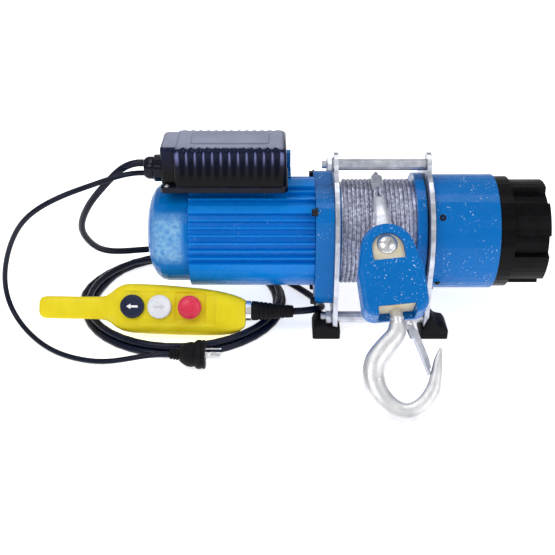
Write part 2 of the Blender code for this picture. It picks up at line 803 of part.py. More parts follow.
def rope_ferrule(finish):
    """Oval pressed sleeve over the rope's two strands."""
    points = [ferrule_end(-0.014), ferrule_end(0.014)]
    sleeve = to_mesh(tube("rope_ferrule", points, 0.0045, 3))
    sleeve.data.transform(Matrix.Translation(-points[0]))
    sleeve.data.transform(Matrix.Diagonal((1.73, 1.0, 1.0, 1.0)))
    sleeve.data.transform(Matrix.Translation(points[0]))
    keep(sleeve, finish)


def rope_eye(carrier, finish):
    """Two strands from the ferrule and the loop that they make round the thimble."""
    place = carrier.matrix_world
    loop_radius = THIMBLE_SEAT + ROPE_RADIUS + LOOP_SLACK
    loop = [place @ Vector((x, 0.0, z)) for x, z in arc((0.0, 0.0), loop_radius, 180, 360, 6)]
    back = ferrule_end(0.022)
    sides = []
    for side in (-1, 1):
        strand = [
            ferrule_end(0.014 + CORD_GAP) + Vector((side * 0.0034, 0.0, 0.0)),
            back + Vector((side * 0.0036, 0.0, 0.0)),
            back.lerp(place @ Vector((0.0, 0.0, 0.012)), 0.55) + Vector((side * 0.0085, 0.0, 0.0)),
            place @ Vector((side * loop_radius, 0.0, 0.010)),
        ]
        sides.append(strand)
    route = sides[0] + loop + sides[1][::-1]
    keep(tube("rope_eye", smooth_route(route, 0.0070), ROPE_RADIUS), finish)


def thimble(carrier, finish):
    """Grooved ring between the rope's eye and the block's pin."""
    inner, rim, half = PIN_RADIUS + GAP, 0.0120, 0.0042
    groove = ROPE_RADIUS + GAP
    profile = [
        (inner, half),
        (rim, half),
        (rim, groove + 0.0003),
        (THIMBLE_SEAT, groove),
        (THIMBLE_SEAT, -groove),
        (rim, -groove - 0.0003),
        (rim, -half),
        (inner, -half),
    ]
    made = turned("thimble", profile, 16, ring=True)
    made.rotation_euler = (math.pi / 2, 0.0, 0.0)
    keep(made, finish, carrier)


def build_drum(finish, carrier):
    rope_drum(finish["blue"])
    winding = bush("rope_winding", DRUM_CORE_RADIUS + 0.0005, WOUND_RADIUS, 0.0425, -0.0535, 40)
    keep(winding, finish["rope"])
    inner, outer = HUB_RADIUS + GAP, PLATE_BORE - GAP
    keep(bush("right_drum_bush", inner, outer, PLATE_OUTER - GAP, PLATE_INNER + GAP, 32), finish["steel"])
    keep(bush("left_drum_bush", inner, outer, -PLATE_INNER - GAP, -PLATE_OUTER + GAP, 32), finish["steel"])
    rope_lead(finish["rope"])
    rope_ferrule(finish["zinc"])
    rope_eye(carrier, finish["rope"])
    thimble(carrier, finish["zinc"])


# ---------------------------------------------------------------- gearbox and brake
def tooth_half_angle(radius, teeth):
    """Half the angle that an involute tooth fills at a radius."""
    pitch = GEAR_MODULE * teeth / 2
    base = pitch * math.cos(PRESSURE_ANGLE)
    roll = math.acos(min(1.0, base / radius))
    at_pitch = (math.pi * GEAR_MODULE / 2 - BACKLASH) / (2 * pitch)
    return at_pitch + (math.tan(PRESSURE_ANGLE) - PRESSURE_ANGLE) - (math.tan(roll) - roll)


def gear_outline(teeth, phase, centre):
    """Gear teeth about a centre; phase is the direction of the first tooth, in degrees."""
    pitch = GEAR_MODULE * teeth / 2
    radii = [pitch - DEDENDUM, pitch + ADDENDUM]
    if teeth < 20:
        radii.insert(1, pitch)
    rising = [(radius, -tooth_half_angle(radius, teeth)) for radius in radii]
    falling = [(radius, -offset) for radius, offset in reversed(rising)]
    points = []
    for tooth in range(teeth):
        middle = math.radians(phase) + math.tau * tooth / teeth
        for radius, offset in rising + falling:
            angle = middle + offset
            points.append((centre[0] + radius * math.cos(angle), centre[1] + radius * math.sin(angle)))
    return points


def gear(name, teeth, phase, centre, stations, bore=0.0):
    """A spur gear centred at (across, up) from the axis."""
    outlines = [gear_outline(teeth, phase, centre)]
    if bore:
        outlines.append(circle(bore, 24, centre))
    return to_mesh(axial_solid(name, outlines, *stations))


def matching_phase(teeth, other_teeth, other_phase, toward):
    """Phase that sets a gear's gap on the other gear's tooth; toward runs from the other to this one."""
    share = (toward - other_phase) * other_teeth / 360
    return toward + 180 + (0.5 + share) * 360 / teeth


def layshaft(name, centre, wheel_phase, wheel_mesh, pinion_teeth, pinion_phase, pinion_mesh, finish):
    """A shaft that carries one wheel and one pinion."""
    shaft = rod(
        name,
        on_axis(GEARBOX_FLOOR - 0.0033, *centre),
        on_axis(RING_LEFT + 0.0035, *centre),
        LAYSHAFT_RADIUS,
        20,
    )
    join(shaft, gear(f"{name}_wheel", WHEEL_TEETH, wheel_phase, centre, wheel_mesh))
    join(shaft, gear(f"{name}_pinion", pinion_teeth, pinion_phase, centre, pinion_mesh))
    keep(shaft, finish)


def with_pockets(casting, places, start, end):
    """Cut a blind pocket for each layshaft between two stations."""
    for i, place in enumerate(places):
        name = f"{casting.name}_pocket_{i}"
        pocket = rod(name, on_axis(start, *place), on_axis(end, *place), LAYSHAFT_RADIUS + GAP, 20)
        cut(casting, pocket)
    return casting


def gearbox_housing(places, finish):
    """Cup-shaped casting on the right plate, open toward the brake."""
    bore = HUB_RADIUS + 0.001
    inside = GEARBOX_RADIUS - GEARBOX_WALL
    profile = [
        (inside, GEARBOX_RIGHT),
        (GEARBOX_RADIUS, GEARBOX_RIGHT),
        (GEARBOX_RADIUS, GEARBOX_LEFT + 0.003),
        (GEARBOX_RADIUS - 0.003, GEARBOX_LEFT),
        (bore, GEARBOX_LEFT),
        (bore, GEARBOX_FLOOR),
        (inside, GEARBOX_FLOOR),
    ]
    housing = turned_on_axis("gearbox_housing", profile, 40, ring=True)
    keep(with_pockets(housing, places, GEARBOX_FLOOR - 0.0036, GEARBOX_FLOOR + 0.005), finish)


def gearbox_cover(places, finish):
    """Black ring that closes the gearbox and carries the brake."""
    profile = [
        (RING_RIM, RING_RIGHT),
        (RING_RADIUS, RING_RIGHT),
        (RING_RADIUS, RING_LEFT),
        (0.014, RING_LEFT),
        (0.014, RING_FLOOR),
        (RING_RIM, RING_FLOOR),
    ]
    cover = turned_on_axis("gearbox_cover", profile, 40, ring=True)
    keep(with_pockets(cover, places, RING_LEFT - 0.005, RING_LEFT + 0.0038), finish)


def cap_outline():
    """Rim of the end cap, with broad lobes between deep recesses."""
    pitch = 360 / CAP_LOBES
    half = CAP_LOBE_ANGLE / 2
    points = []
    for i in range(CAP_LOBES):
        middle = CAP_FIRST_LOBE + i * pitch
        points += arc((0.0, 0.0), CAP_RADIUS, middle - half, middle + half, 5)
        points += arc((0.0, 0.0), CAP_RECESS_RADIUS, middle + half + 2, middle + pitch - half - 2, 3)
    return points


def end_cap(finish):
    """Lobed plastic cap over the brake, hollow toward the gearbox."""
    cap = to_mesh(axial_solid("end_cap", [cap_outline()], CAP_RIGHT, CAP_LEFT))
    cut(cap, rod("cap_hollow", on_axis(CAP_LEFT - OVERRUN), on_axis(CAP_RIGHT - 0.008), CAP_BORE, 32))
    keep(cap, finish)


def build_gearbox(finish):
    first_angle, second_angle = LAYSHAFT_ANGLES
    first = arc((0.0, 0.0), GEAR_CENTRES, first_angle, first_angle, 1)[0]
    second = arc((0.0, 0.0), GEAR_CENTRES, second_angle, second_angle, 1)[0]
    between = 180.0
    first_wheel = matching_phase(WHEEL_TEETH, PINION_TEETH, 0.0, first_angle)
    second_wheel = matching_phase(WHEEL_TEETH, PINION_TEETH, 0.0, between)
    last_pinion = matching_phase(LAST_PINION_TEETH, DRUM_GEAR_TEETH, 0.0, second_angle)
    steel = finish["steel"]
    layshaft("first_layshaft", first, first_wheel, FIRST_MESH, PINION_TEETH, 0.0, SECOND_MESH, steel)
    last = LAST_PINION_TEETH
    layshaft("second_layshaft", second, second_wheel, SECOND_MESH, last, last_pinion, THIRD_MESH, steel)
    keep(gear("drum_gear", DRUM_GEAR_TEETH, 0.0, (0.0, 0.0), THIRD_MESH, GEAR_SEAT_RADIUS + GAP), steel)
    gearbox_housing([first, second], finish["blue"])
    gearbox_cover([first, second], finish["black"])
    end_cap(finish["black"])
    coil_right = RING_FLOOR + 0.0227
    keep(bush("brake_coil", 0.014, 0.050, coil_right, RING_FLOOR + GAP, 24), finish["copper"])
    disc = bush("brake_disc", SHAFT_RADIUS + GAP, 0.048, coil_right + 0.0085, coil_right + 0.0005, 24)
    keep(disc, finish["iron"])


# ---------------------------------------------------------------- hook block
def block_frame():
    """Frame of the hook block: +Z up the block, -Y out of its front face, origin on its pin."""
    slope = Matrix.Rotation(math.radians(BLOCK_SLOPE - 90), 4, "X")
    lean = Matrix.Rotation(math.radians(-BLOCK_LEAN), 4, "Y")
    return frame_empty("hook_block_frame", PIN_PLACE, slope @ lean)


def block_outline():
    """Front view of the cast block: a domed crown that widens to round lower corners."""
    corner = 0.015
    right = arc((BLOCK_SHOULDER - corner, corner - BLOCK_LENGTH), corner, -90, 0, 4)
    right += [(BLOCK_SHOULDER, -0.032)]
    right += arc((0.0, WINDOW_UP), BLOCK_CROWN_RADIUS, 5, 85, 7)
    left = [(-x, z) for x, z in reversed(right)]
    return right + left


def window_outline():
    """Half-round window with a flat lower edge."""
    radius = 0.020
    foot = WINDOW_UP - 0.015
    return arc((0.0, WINDOW_UP), radius, 0, 180, 10) + [(-radius, foot), (radius, foot)]


def hook_block(carrier, finish):
    """Cast block: slot for the rope's eye, window over the pin's head, recess round the shank."""
    half = BLOCK_HALF_THICKNESS
    body = to_mesh(facing_solid("hook_block", block_outline(), -half, half))
    round_edges(body, 0.005, 2, 50)
    slot = BLOCK_SLOT_HALF
    cut(body, block("eye_slot", (-0.027, -slot, -0.030), (0.027, slot, 0.040)), carrier)
    cut(body, block("nut_slot", (-0.014, -slot, -0.066), (0.014, slot, -0.020)), carrier)
    cut(body, block("shank_recess", (-0.023, -0.035, -0.110), (0.023, 0.0105, -0.080)), carrier)
    cut(body, rod("pin_hole", (0.0, -0.035, 0.0), (0.0, 0.035, 0.0), PIN_RADIUS + GAP), carrier)
    cut(body, rod("shank_hole", (0.0, 0.0, -0.087), (0.0, 0.0, -0.060), SHANK_RADIUS + 0.0008), carrier)
    window = to_mesh(facing_solid("pin_window", window_outline(), -half - OVERRUN, WINDOW_DEPTH - half))
    cut(body, window, carrier)
    keep(body, finish, carrier)


def block_pin(carrier, finish):
    """Pin with a domed head that shows in the window."""
    seat = BLOCK_HALF_THICKNESS - WINDOW_DEPTH + GAP
    head = arc((0.0, seat - 0.0130), 0.0188, 90, 46.5, 3)
    profile = head + [(PIN_HEAD_RADIUS, seat), (PIN_RADIUS, seat), (PIN_RADIUS, -0.0195), (0.0, -0.0195)]
    made = turned("block_pin", profile, 16)
    made.rotation_euler = (math.pi / 2, 0.0, 0.0)
    keep(made, finish, carrier)


def hook_route():
    """Centre line of the bowl below the shank, as (x, y, z, half width)."""
    return [
        (0.000, 0.0, -0.090, 0.0076),
        (-0.0006, 0.0, -0.100, 0.0103),
        (-0.005, 0.0, -0.112, 0.0116),
        (-0.020, 0.0, -0.127, 0.0130),
        (-0.033, 0.0, -0.142, 0.0133),
        (-0.038, 0.0, -0.160, 0.0133),
        (-0.035, 0.0, -0.180, 0.0127),
        (-0.023, 0.0, -0.198, 0.0118),
        (-0.006, 0.0, -0.207, 0.0113),
        (0.013, 0.0, -0.201, 0.0103),
        (0.028, 0.0, -0.185, 0.0090),
        (0.036, 0.0, -0.165, 0.0070),
        (0.041, 0.0, -0.148, 0.0050),
        (0.0465, 0.0, -0.134, 0.0022),
    ]


def hook(carrier, finish):
    """Forged hook: a flattened, tapering bowl on a round shank, with a lug for the latch."""
    points = smooth_route(hook_route(), 0.0095)
    bowl = to_mesh(tube("hook_bowl", points, 1.0, 3, [point[3] for point in points]))
    bowl.data.transform(Matrix.Diagonal((1.0, HOOK_FLATNESS, 1.0, 1.0)))
    shank = rod("hook", (0.0, 0.0, -0.102), (0.0, 0.0, -0.048), SHANK_RADIUS)
    pivot = Vector((LATCH_ACROSS, 0.0, LATCH_UP))
    side = Vector((0.0, 0.004, 0.0))
    lug = rod("hook_lug", pivot - side, pivot + side, 0.005, 16)
    web = block("hook_web", (0.0, -0.0038, LATCH_UP - 0.0045), (LATCH_ACROSS, 0.0038, LATCH_UP + 0.0042))
    hole = rod("hook_lug_hole", pivot - 3 * side, pivot + 3 * side, LATCH_PIN_RADIUS + GAP, 12)
    join(shank, bowl, carrier)
    join(shank, web, carrier)
    join(shank, lug, carrier)
    cut(shank, hole, carrier)
    keep(shank, finish, carrier)


def hook_latch(carrier, finish):
    """Sprung safety latch: a strip with an ear either side of the hook's lug, and its pin."""
    hinge = bpy.data.objects.new("latch_frame", None)
    PARTS.objects.link(hinge)
    hinge.parent = carrier
    hinge.location = (LATCH_ACROSS, 0.0, LATCH_UP)
    hinge.rotation_euler = (0.0, -math.radians(LATCH_ANGLE), 0.0)
    strip = block("hook_latch", (-0.0011, -0.0064, -LATCH_LENGTH), (0.0011, 0.0064, -0.0070))
    for side in (-1, 1):
        low, high = sorted((side * 0.0044, side * 0.0062))
        ear = block(f"latch_ear_{side}", (-0.0038, low, -0.0160), (0.0038, high, 0.0040))
        join(strip, ear, hinge)
    hole = rod("latch_hole", (0.0, -0.020, 0.0), (0.0, 0.020, 0.0), LATCH_PIN_RADIUS + GAP, 12)
    cut(strip, hole, hinge)
    keep(strip, finish["zinc"], hinge)
    pin = rod("latch_pin", (0.0, -0.0075, 0.0), (0.0, 0.0075, 0.0), LATCH_PIN_RADIUS, 12)
    keep(pin, finish["steel"], hinge)


def build_hook(finish, carrier):
    hook_block(carrier, finish["blue"])
    block_pin(carrier, finish["steel"])
    hook(carrier, finish["zinc"])
    nut = to_mesh(outline_solid("hook_nut", [circle(0.0105, 6), circle(SHANK_RADIUS + GAP, 16)], 0.012))
    nut.location = (0.0, 0.0, -0.056)
    keep(nut, finish["steel"], carrier)
    inner, outer = SHANK_RADIUS + GAP, 0.0105
    profile = [(inner, -0.0623), (outer, -0.0623), (outer, -0.0657), (inner, -0.0657)]
    keep(turned("thrust_bearing", profile, 16, ring=True), finish["steel"], carrier)
    hook_latch(carrier, finish)


# ---------------------------------------------------------------- pendant
def pendant_frame():
    """Frame of the handset: X along it toward its cable, -Y out of its face."""
    lean = Matrix.Rotation(math.radians(-PENDANT_LEAN), 4, "X")
    roll = Matrix.Rotation(math.radians(PENDANT_ROLL), 4, "Y")
    return frame_empty("pendant_frame", PENDANT_PLACE, lean @ roll)


def case_shape(name):
    """Outer shape of the whole handset case, with its face and back rounded over."""
    outline = rounded_rectangle(
        -PENDANT_HALF_LENGTH,
        PENDANT_HALF_LENGTH,
        -PENDANT_HALF_HEIGHT,
        PENDANT_HALF_HEIGHT,
        PENDANT_CORNER,
    )
    case = to_mesh(facing_solid(name, outline, -PENDANT_HALF_DEPTH, PENDANT_HALF_DEPTH))
    round_edges(case, PENDANT_ROUND, 3, 60)
    return case


def case_half(name, side):
    """One half of the case, hollow toward the parting plane; side is -1 for the front."""
    half = case_shape(name)
    depth = 2 * PENDANT_HALF_DEPTH
    low, high = sorted((side * GAP / 2, -side * depth))
    other_half = block(f"{name}_parting", (-0.3, low, -0.1), (0.3, high, 0.1))
    inset = 0.006
    outline = rounded_rectangle(
        inset - PENDANT_HALF_LENGTH,
        PENDANT_HALF_LENGTH - inset,
        inset - PENDANT_HALF_HEIGHT,
        PENDANT_HALF_HEIGHT - inset,
        0.012,
        3,
    )
    inner_face = PENDANT_HALF_DEPTH - PENDANT_WALL
    front, back = sorted((side * inner_face, -side * OVERRUN))
    hollow = to_mesh(facing_solid(f"{name}_hollow", outline, front, back))
    return half, other_half, hollow


def button_places():
    """Local x of each button's axis, and its radius where it passes the case."""
    return {"up_button": (-0.0615, 0.0156), "down_button": (-0.026, 0.0156), "stop_button": (0.014, 0.0105)}


def pendant_front(carrier, finish):
    """Front half of the case, with a hole for each button."""
    half, other_half, hollow = case_half("pendant_front_shell", -1)
    cut(half, other_half, carrier)
    cut(half, hollow, carrier)
    for name, (x, radius) in button_places().items():
        hole = rod(f"{name}_hole", (x, -0.030, BUTTON_UP), (x, -0.010, BUTTON_UP), radius + 0.0007, 20)
        cut(half, hole, carrier)
    keep(half, finish, carrier)


def pendant_back(carrier, finish):
    """Back half of the case, with the flat grip at its left end."""
    half, other_half, hollow = case_half("pendant_back_shell", 1)
    root = 0.004 - PENDANT_HALF_LENGTH
    outline = rounded_rectangle(-GRIP_END, root, -GRIP_HALF_HEIGHT, GRIP_HALF_HEIGHT, 0.010, 3)
    grip = to_mesh(facing_solid("pendant_grip", outline, GAP, 2 * GRIP_HALF_DEPTH))
    cut(half, other_half, carrier)
    join(half, grip, carrier)
    cut(half, hollow, carrier)
    keep(half, finish, carrier)


def push_button(name, x, radius, carrier, finish):
    """A round button with a collar behind the case's wall."""
    face = PENDANT_HALF_DEPTH
    collar = face - PENDANT_WALL - GAP
    top = face + BUTTON_PROUD
    profile = [
        (0.0, top),
        (radius - 0.002, top - 0.0004),
        (radius, top - 0.0020),
        (radius, collar),
        (radius + 0.0015, collar),
        (radius + 0.0015, collar - 0.0025),
        (0.0, collar - 0.0025),
    ]
    made = turned(name, profile, 18)
    made.rotation_euler = (math.pi / 2, 0.0, 0.0)
    made.location = (x, 0.0, BUTTON_UP)
    keep(made, finish, carrier)


def stop_button(x, radius, carrier, finish):
    """A mushroom-headed button with a collar behind the case's wall."""
    face = PENDANT_HALF_DEPTH
    collar = face - PENDANT_WALL - GAP
    under = face + BUTTON_PROUD
    head = 0.0155
    profile = [
        (0.0, under + 0.0085),
        (head * 0.6, under + 0.0075),
        (head * 0.9, under + 0.0050),
        (head, under + 0.0020),
        (head, under),
        (radius, under),
        (radius, collar),
        (radius + 0.0015, collar),
        (radius + 0.0015, collar - 0.0025),
        (0.0, collar - 0.0025),
    ]
    made = turned("stop_button", profile, 18)
    made.rotation_euler = (math.pi / 2, 0.0, 0.0)
    made.location = (x, 0.0, BUTTON_UP)
    keep(made, finish, carrier)


def strain_relief(carrier, finish):
    """Tapered rubber sleeve over the cable, with a metal collar at its root."""
    root = PENDANT_HALF_LENGTH + GAP
    relief_profile = [
        (0.0, RELIEF_END),
        (0.0080, RELIEF_END),
        (0.0120, root + 0.0078),
        (0.0110, root + 0.0075),
        (0.0110, root),
        (0.0, root),
    ]
    relief = turned("pendant_strain_relief", relief_profile, 16)
    collar_profile = [(0.0113, root + 0.0070), (0.0140, root + 0.0070), (0.0140, root), (0.0113, root)]
    collar = turned("strain_relief_collar", collar_profile, 16, ring=True)
    for piece, look in ((relief, finish["rubber"]), (collar, finish["steel"])):
        piece.rotation_euler = (0.0, math.pi / 2, 0.0)
        keep(piece, look, carrier)


def build_pendant(finish, carrier):
    pendant_front(carrier, finish["yellow"])
    pendant_back(carrier, finish["yellow"])
    places = button_places()
    push_button("up_button", *places["up_button"], carrier, finish["navy"])
    push_button("down_button", *places["down_button"], carrier, finish["white"])
    stop_button(*places["stop_button"], carrier, finish["red"])
    keep(block("contact_block", (-0.074, -0.0070, -0.017), (0.034, 0.0130, 0.019)), finish["grey"], carrier)
    strain_relief(carrier, finish)


# ---------------------------------------------------------------- cables and plug
def gland_exit(side):
    """Where one cable leaves the gland nut; side is 1 for the upper cable."""
    return on_axis(GLAND_NUT_LEFT - CORD_GAP, GLAND_ACROSS, GLAND_UP + side * CABLE_SPREAD)


def control_cable(finish):
    """Control cable from the gland, down behind the motor's end, to the coil on the floor."""
    route = [
        gland_exit(1),
        (-0.2075, 0.0800, 0.2220),
        (-0.228, 0.0840, 0.208),
        (-0.251, 0.090, 0.180),
        (-0.270, 0.100, 0.156),
        (-0.285, 0.115, 0.126),
        (-0.292, 0.130, 0.104),
        (-0.289, 0.150, 0.078),
        (-0.279, 0.175, 0.050),
        (-0.262, 0.198, 0.032),
        (-0.235, 0.222, 0.021),
        (-0.205, 0.2400, 0.014),
        (-0.172, 0.2480, 0.0095),
    ]
    keep(tube("pendant_cable", smooth_route(route, 0.018), CABLE_RADIUS), finish)


def cable_coil(finish):
    """Outer shape of the coiled control cable, lying on the floor."""
    section = [(COIL_RADIUS + x, COIL_SECTION + y) for x, y in arc((0.0, 0.0), COIL_SECTION, 90, -225, 7)]
    coil = turned("pendant_coil", section, 32, ring=True)
    coil.location = COIL_PLACE
    keep(coil, finish)


def cable_tail(carrier, finish):
    """Last stretch of the control cable, from the coil to the handset's strain relief."""
    route = [
        carrier.matrix_world @ Vector((RELIEF_END + CORD_GAP, 0.0, 0.0)),
        carrier.matrix_world @ Vector((RELIEF_END + 0.016, 0.0, 0.0)),
        (0.035, 0.048, 0.0235),
        (0.044, 0.068, 0.0125),
        (0.041, 0.092, 0.0060),
        (0.030, 0.115, 0.0052),
        (0.010, 0.143, 0.0052),
        (-0.010, 0.166, 0.0052),
        (-0.029, 0.1890, 0.0052),
    ]
    keep(tube("pendant_tail", smooth_route(route, 0.016), CABLE_RADIUS), finish)


def power_cord(finish):
    """Supply cord from the gland, out to the left in an arc, then along the floor to the plug."""
    route = [
        gland_exit(-1),
        (-0.2055, 0.0790, 0.2080),
        (-0.226, 0.063, 0.209),
        (-0.252, 0.041, 0.207),
        (-0.291, 0.025, 0.198),
        (-0.334, 0.025, 0.172),
        (-0.363, 0.039, 0.130),
        (-0.381, 0.047, 0.080),
        (-0.382, 0.044, 0.040),
        (-0.362, 0.023, 0.013),
        (-0.321, -0.020, 0.0046),
        (-0.283, -0.045, 0.0040),
        (-0.242, -0.0575, 0.0046),
        (-0.213, -0.0605, 0.0105),
        (-0.184, -0.0610, 0.0172),
        PLUG_PLACE + Vector((PLUG_TAIL - CORD_GAP, 0.0, 0.0)),
    ]
    keep(tube("power_cord", smooth_route(route, 0.018), CORD_RADIUS), finish)


def power_plug(finish):
    """Moulded plug with a tapered sleeve and three flat pins along +X."""
    profile = [
        (0.0, PLUG_FACE),
        (PLUG_RADIUS - 0.002, PLUG_FACE),
        (PLUG_RADIUS, PLUG_FACE - 0.003),
        (PLUG_RADIUS, 0.008),
        (0.0125, -0.002),
        (0.0085, -0.010),
        (0.0055, PLUG_TAIL),
        (0.0, PLUG_TAIL),
    ]
    carrier = frame_empty("plug_frame", PLUG_PLACE, Matrix.Identity(4))
    body = turned("power_plug", profile, 16)
    body.rotation_euler = (0.0, math.pi / 2, 0.0)
    for i, (across, up, turn) in enumerate(((-0.0069, 0.004, 30), (0.0069, 0.004, -30), (0.0, -0.0085, 90))):
        pin = block(f"plug_pin_{i}", (-0.012, -0.0032, -0.0008), (0.012, 0.0032, 0.0008))
        pin.location = (0.031, across, up)
        pin.rotation_euler = (math.radians(turn), 0.0, 0.0)
        join(body, pin, carrier)
    keep(body, finish, carrier)


def build_cables(finish, pendant):
    rubber = finish["rubber"]
    control_cable(rubber)
    cable_coil(rubber)
    cable_tail(pendant, rubber)
    power_cord(rubber)
    power_plug(rubber)


def main():
    finish = make_materials()
    hook_carrier = block_frame()
    pendant = pendant_frame()
    build_frame(finish)
    build_motor(finish)
    build_control_box(finish)
    build_drum(finish, hook_carrier)
    build_gearbox(finish)
    build_hook(finish, hook_carrier)
    build_pendant(finish, pendant)
    build_cables(finish, pendant)


main()
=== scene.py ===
"""Looks of the portable electric wire rope hoist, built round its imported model.

Everything is in metres in the model's frame: +X along the drum from motor to gearbox, +Z up, hook at -Y.
"""

import math

import bpy
from mathutils import Matrix, Vector


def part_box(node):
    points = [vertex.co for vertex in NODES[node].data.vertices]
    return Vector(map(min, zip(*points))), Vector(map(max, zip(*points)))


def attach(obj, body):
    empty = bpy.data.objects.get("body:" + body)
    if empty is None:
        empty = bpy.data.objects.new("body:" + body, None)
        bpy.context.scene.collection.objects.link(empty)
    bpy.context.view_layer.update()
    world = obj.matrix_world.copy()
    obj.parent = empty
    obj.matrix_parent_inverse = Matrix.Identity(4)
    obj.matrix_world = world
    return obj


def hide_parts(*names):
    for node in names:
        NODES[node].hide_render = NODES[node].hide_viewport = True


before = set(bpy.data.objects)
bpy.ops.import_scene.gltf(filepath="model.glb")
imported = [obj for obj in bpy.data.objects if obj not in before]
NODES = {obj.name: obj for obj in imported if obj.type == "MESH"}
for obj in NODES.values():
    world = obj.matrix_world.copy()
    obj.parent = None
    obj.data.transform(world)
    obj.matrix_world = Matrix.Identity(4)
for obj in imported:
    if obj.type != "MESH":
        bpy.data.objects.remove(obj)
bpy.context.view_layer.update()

# ---------------------------------------------------------------- places taken from the model
LEFT_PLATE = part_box("left_side_plate")
RIGHT_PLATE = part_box("right_side_plate")
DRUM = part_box("rope_drum")
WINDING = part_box("rope_winding")
AXIS = Vector((
    (LEFT_PLATE[0].x + RIGHT_PLATE[1].x) / 2,
    (DRUM[0].y + DRUM[1].y) / 2,
    (DRUM[0].z + DRUM[1].z) / 2,
))
LEAD_X = AXIS.x - 0.0067                                  # where the rope leaves the drum
BOX_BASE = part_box("control_box_base")
BOX_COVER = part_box("control_box_cover")
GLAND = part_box("cable_gland")
GLAND_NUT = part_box("gland_nut")
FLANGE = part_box("motor_flange")
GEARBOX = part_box("gearbox_housing")
RIB_FOOT = BOX_COVER[0].z + 0.36 * (BOX_COVER[1].z - BOX_COVER[0].z)
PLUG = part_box("power_plug")
PLUG_AXIS = (PLUG[0] + PLUG[1]) / 2

# ---------------------------------------------------------------- driving sizes, as in the model
PLATE_THICKNESS = 0.006
ROPE_RADIUS = 0.003
ROPE_TURNS = 16
ROPE_STRANDS = 6
ROPE_LAY = 0.040
CABLE_RADIUS = 0.00475
CORD_RADIUS = 0.0035
CABLE_SPREAD = 0.007            # each cable's height from the gland's centre
COIL_PLACE = Vector((-0.1480, 0.100, 0.0))
COIL_RADIUS = 0.134
COIL_TURNS = 3
COIL_ENTRY = 85.0               # degrees from +X toward +Y
COIL_EXIT = 36.8
PIN_PLACE = Vector((0.1178, -0.0188, 0.1471))
BLOCK_SLOPE = 41.0
BLOCK_LEAN = 6.0
PENDANT_PLACE = Vector((-0.1455, 0.0215, 0.0367))
PENDANT_LEAN = 30.0
PENDANT_ROLL = 1.0
PENDANT_FACE = 0.020
BUTTON_UP = 0.003
UP_X, DOWN_X, STOP_X = -0.0615, -0.026, 0.014
BUTTON_TOP = PENDANT_FACE + 0.0050
RELIEF_ROOT = 0.0868
RELIEF_END = 0.150
ROD_PLACES = ((0.0, 0.096), (-0.072, -0.093), (0.072, -0.093))
LATCH_PIVOT = (0.013, 0.0, -0.101)
LATCH_REST = 13.4                # degrees from the shank when closed
HOOK_FLATNESS = 0.78            # the forging's thickness over its width

BLOCK_FRAME = (
    Matrix.Translation(PIN_PLACE)
    @ Matrix.Rotation(math.radians(BLOCK_SLOPE - 90), 4, "X")
    @ Matrix.Rotation(math.radians(-BLOCK_LEAN), 4, "Y")
)
PENDANT_FRAME = (
    Matrix.Translation(PENDANT_PLACE)
    @ Matrix.Rotation(math.radians(-PENDANT_LEAN), 4, "X")
    @ Matrix.Rotation(math.radians(PENDANT_ROLL), 4, "Y")
)
FACE_OUT = Matrix.Rotation(math.radians(90), 4, "X")      # local +Z to the frame's -Y
ALONG_X = Matrix.Rotation(math.radians(90), 4, "Y")       # local +Z to +X
GLAND_CENTRE = (GLAND[0] + GLAND[1]) / 2


# ---------------------------------------------------------------- camera, lights and floor
def make_camera():
    """Camera in front of the hook, looking along +Y and down."""
    data = bpy.data.cameras.new("camera")
    data.lens = 62.0
    data.sensor_width = 36.0
    camera = bpy.data.objects.new("camera", data)
    camera.location = (-0.0167, -1.0793, 0.6777)
    camera.rotation_euler = (math.radians(61.7), 0.0, 0.0)
    bpy.context.scene.collection.objects.link(camera)
    bpy.context.scene.camera = camera


def area_light(name, place, target, size, power):
    """A soft square light aimed at a point."""
    data = bpy.data.lights.new(name, "AREA")
    data.shape = "RECTANGLE"
    data.size, data.size_y = size
    data.energy = power
    light = bpy.data.objects.new(name, data)
    light.location = place
    light.rotation_euler = (Vector(target) - Vector(place)).to_track_quat("-Z", "Y").to_euler()
    bpy.context.scene.collection.objects.link(light)


def make_stage():
    """Pale floor, pale surroundings and soft studio lights."""
    mesh = bpy.data.meshes.new("floor")
    reach = 60.0
    corners = [(-reach, -reach, 0), (reach, -reach, 0), (reach, reach, 0), (-reach, reach, 0)]
    mesh.from_pydata(corners, [], [(0, 1, 2, 3)])
    floor = bpy.data.objects.new("floor", mesh)
    floor.location.z = -0.0002
    bpy.context.scene.collection.objects.link(floor)
    pale = bpy.data.materials.new("pale_floor")
    pale.use_nodes = True
    shader = pale.node_tree.nodes["Principled BSDF"]
    shader.inputs["Base Color"].default_value = (0.92, 0.92, 0.92, 1)
    shader.inputs["Roughness"].default_value = 0.9
    shader.inputs["Specular IOR Level"].default_value = 0.1
    shader.inputs["Emission Color"].default_value = (1, 1, 1, 1)
    shader.inputs["Emission Strength"].default_value = 0.72
    mesh.materials.append(pale)
    world = bpy.data.worlds.new("studio")
    world.use_nodes = True
    world.node_tree.nodes["Background"].inputs["Color"].default_value = (0.97, 0.98, 1.0, 1)
    world.node_tree.nodes["Background"].inputs["Strength"].default_value = 0.50
    bpy.context.scene.world = world
    area_light("key", (-0.7, -0.9, 1.3), (0.0, 0.05, 0.1), (0.7, 0.7), 7.5)
    area_light("fill", (1.0, -0.8, 0.8), (0.1, 0.05, 0.1), (0.8, 0.8), 4.2)
    area_light("top", (0.0, 0.2, 1.4), (0.0, 0.1, 0.1), (1.2, 0.35), 4.5)
    bpy.context.scene.view_settings.view_transform = "Standard"


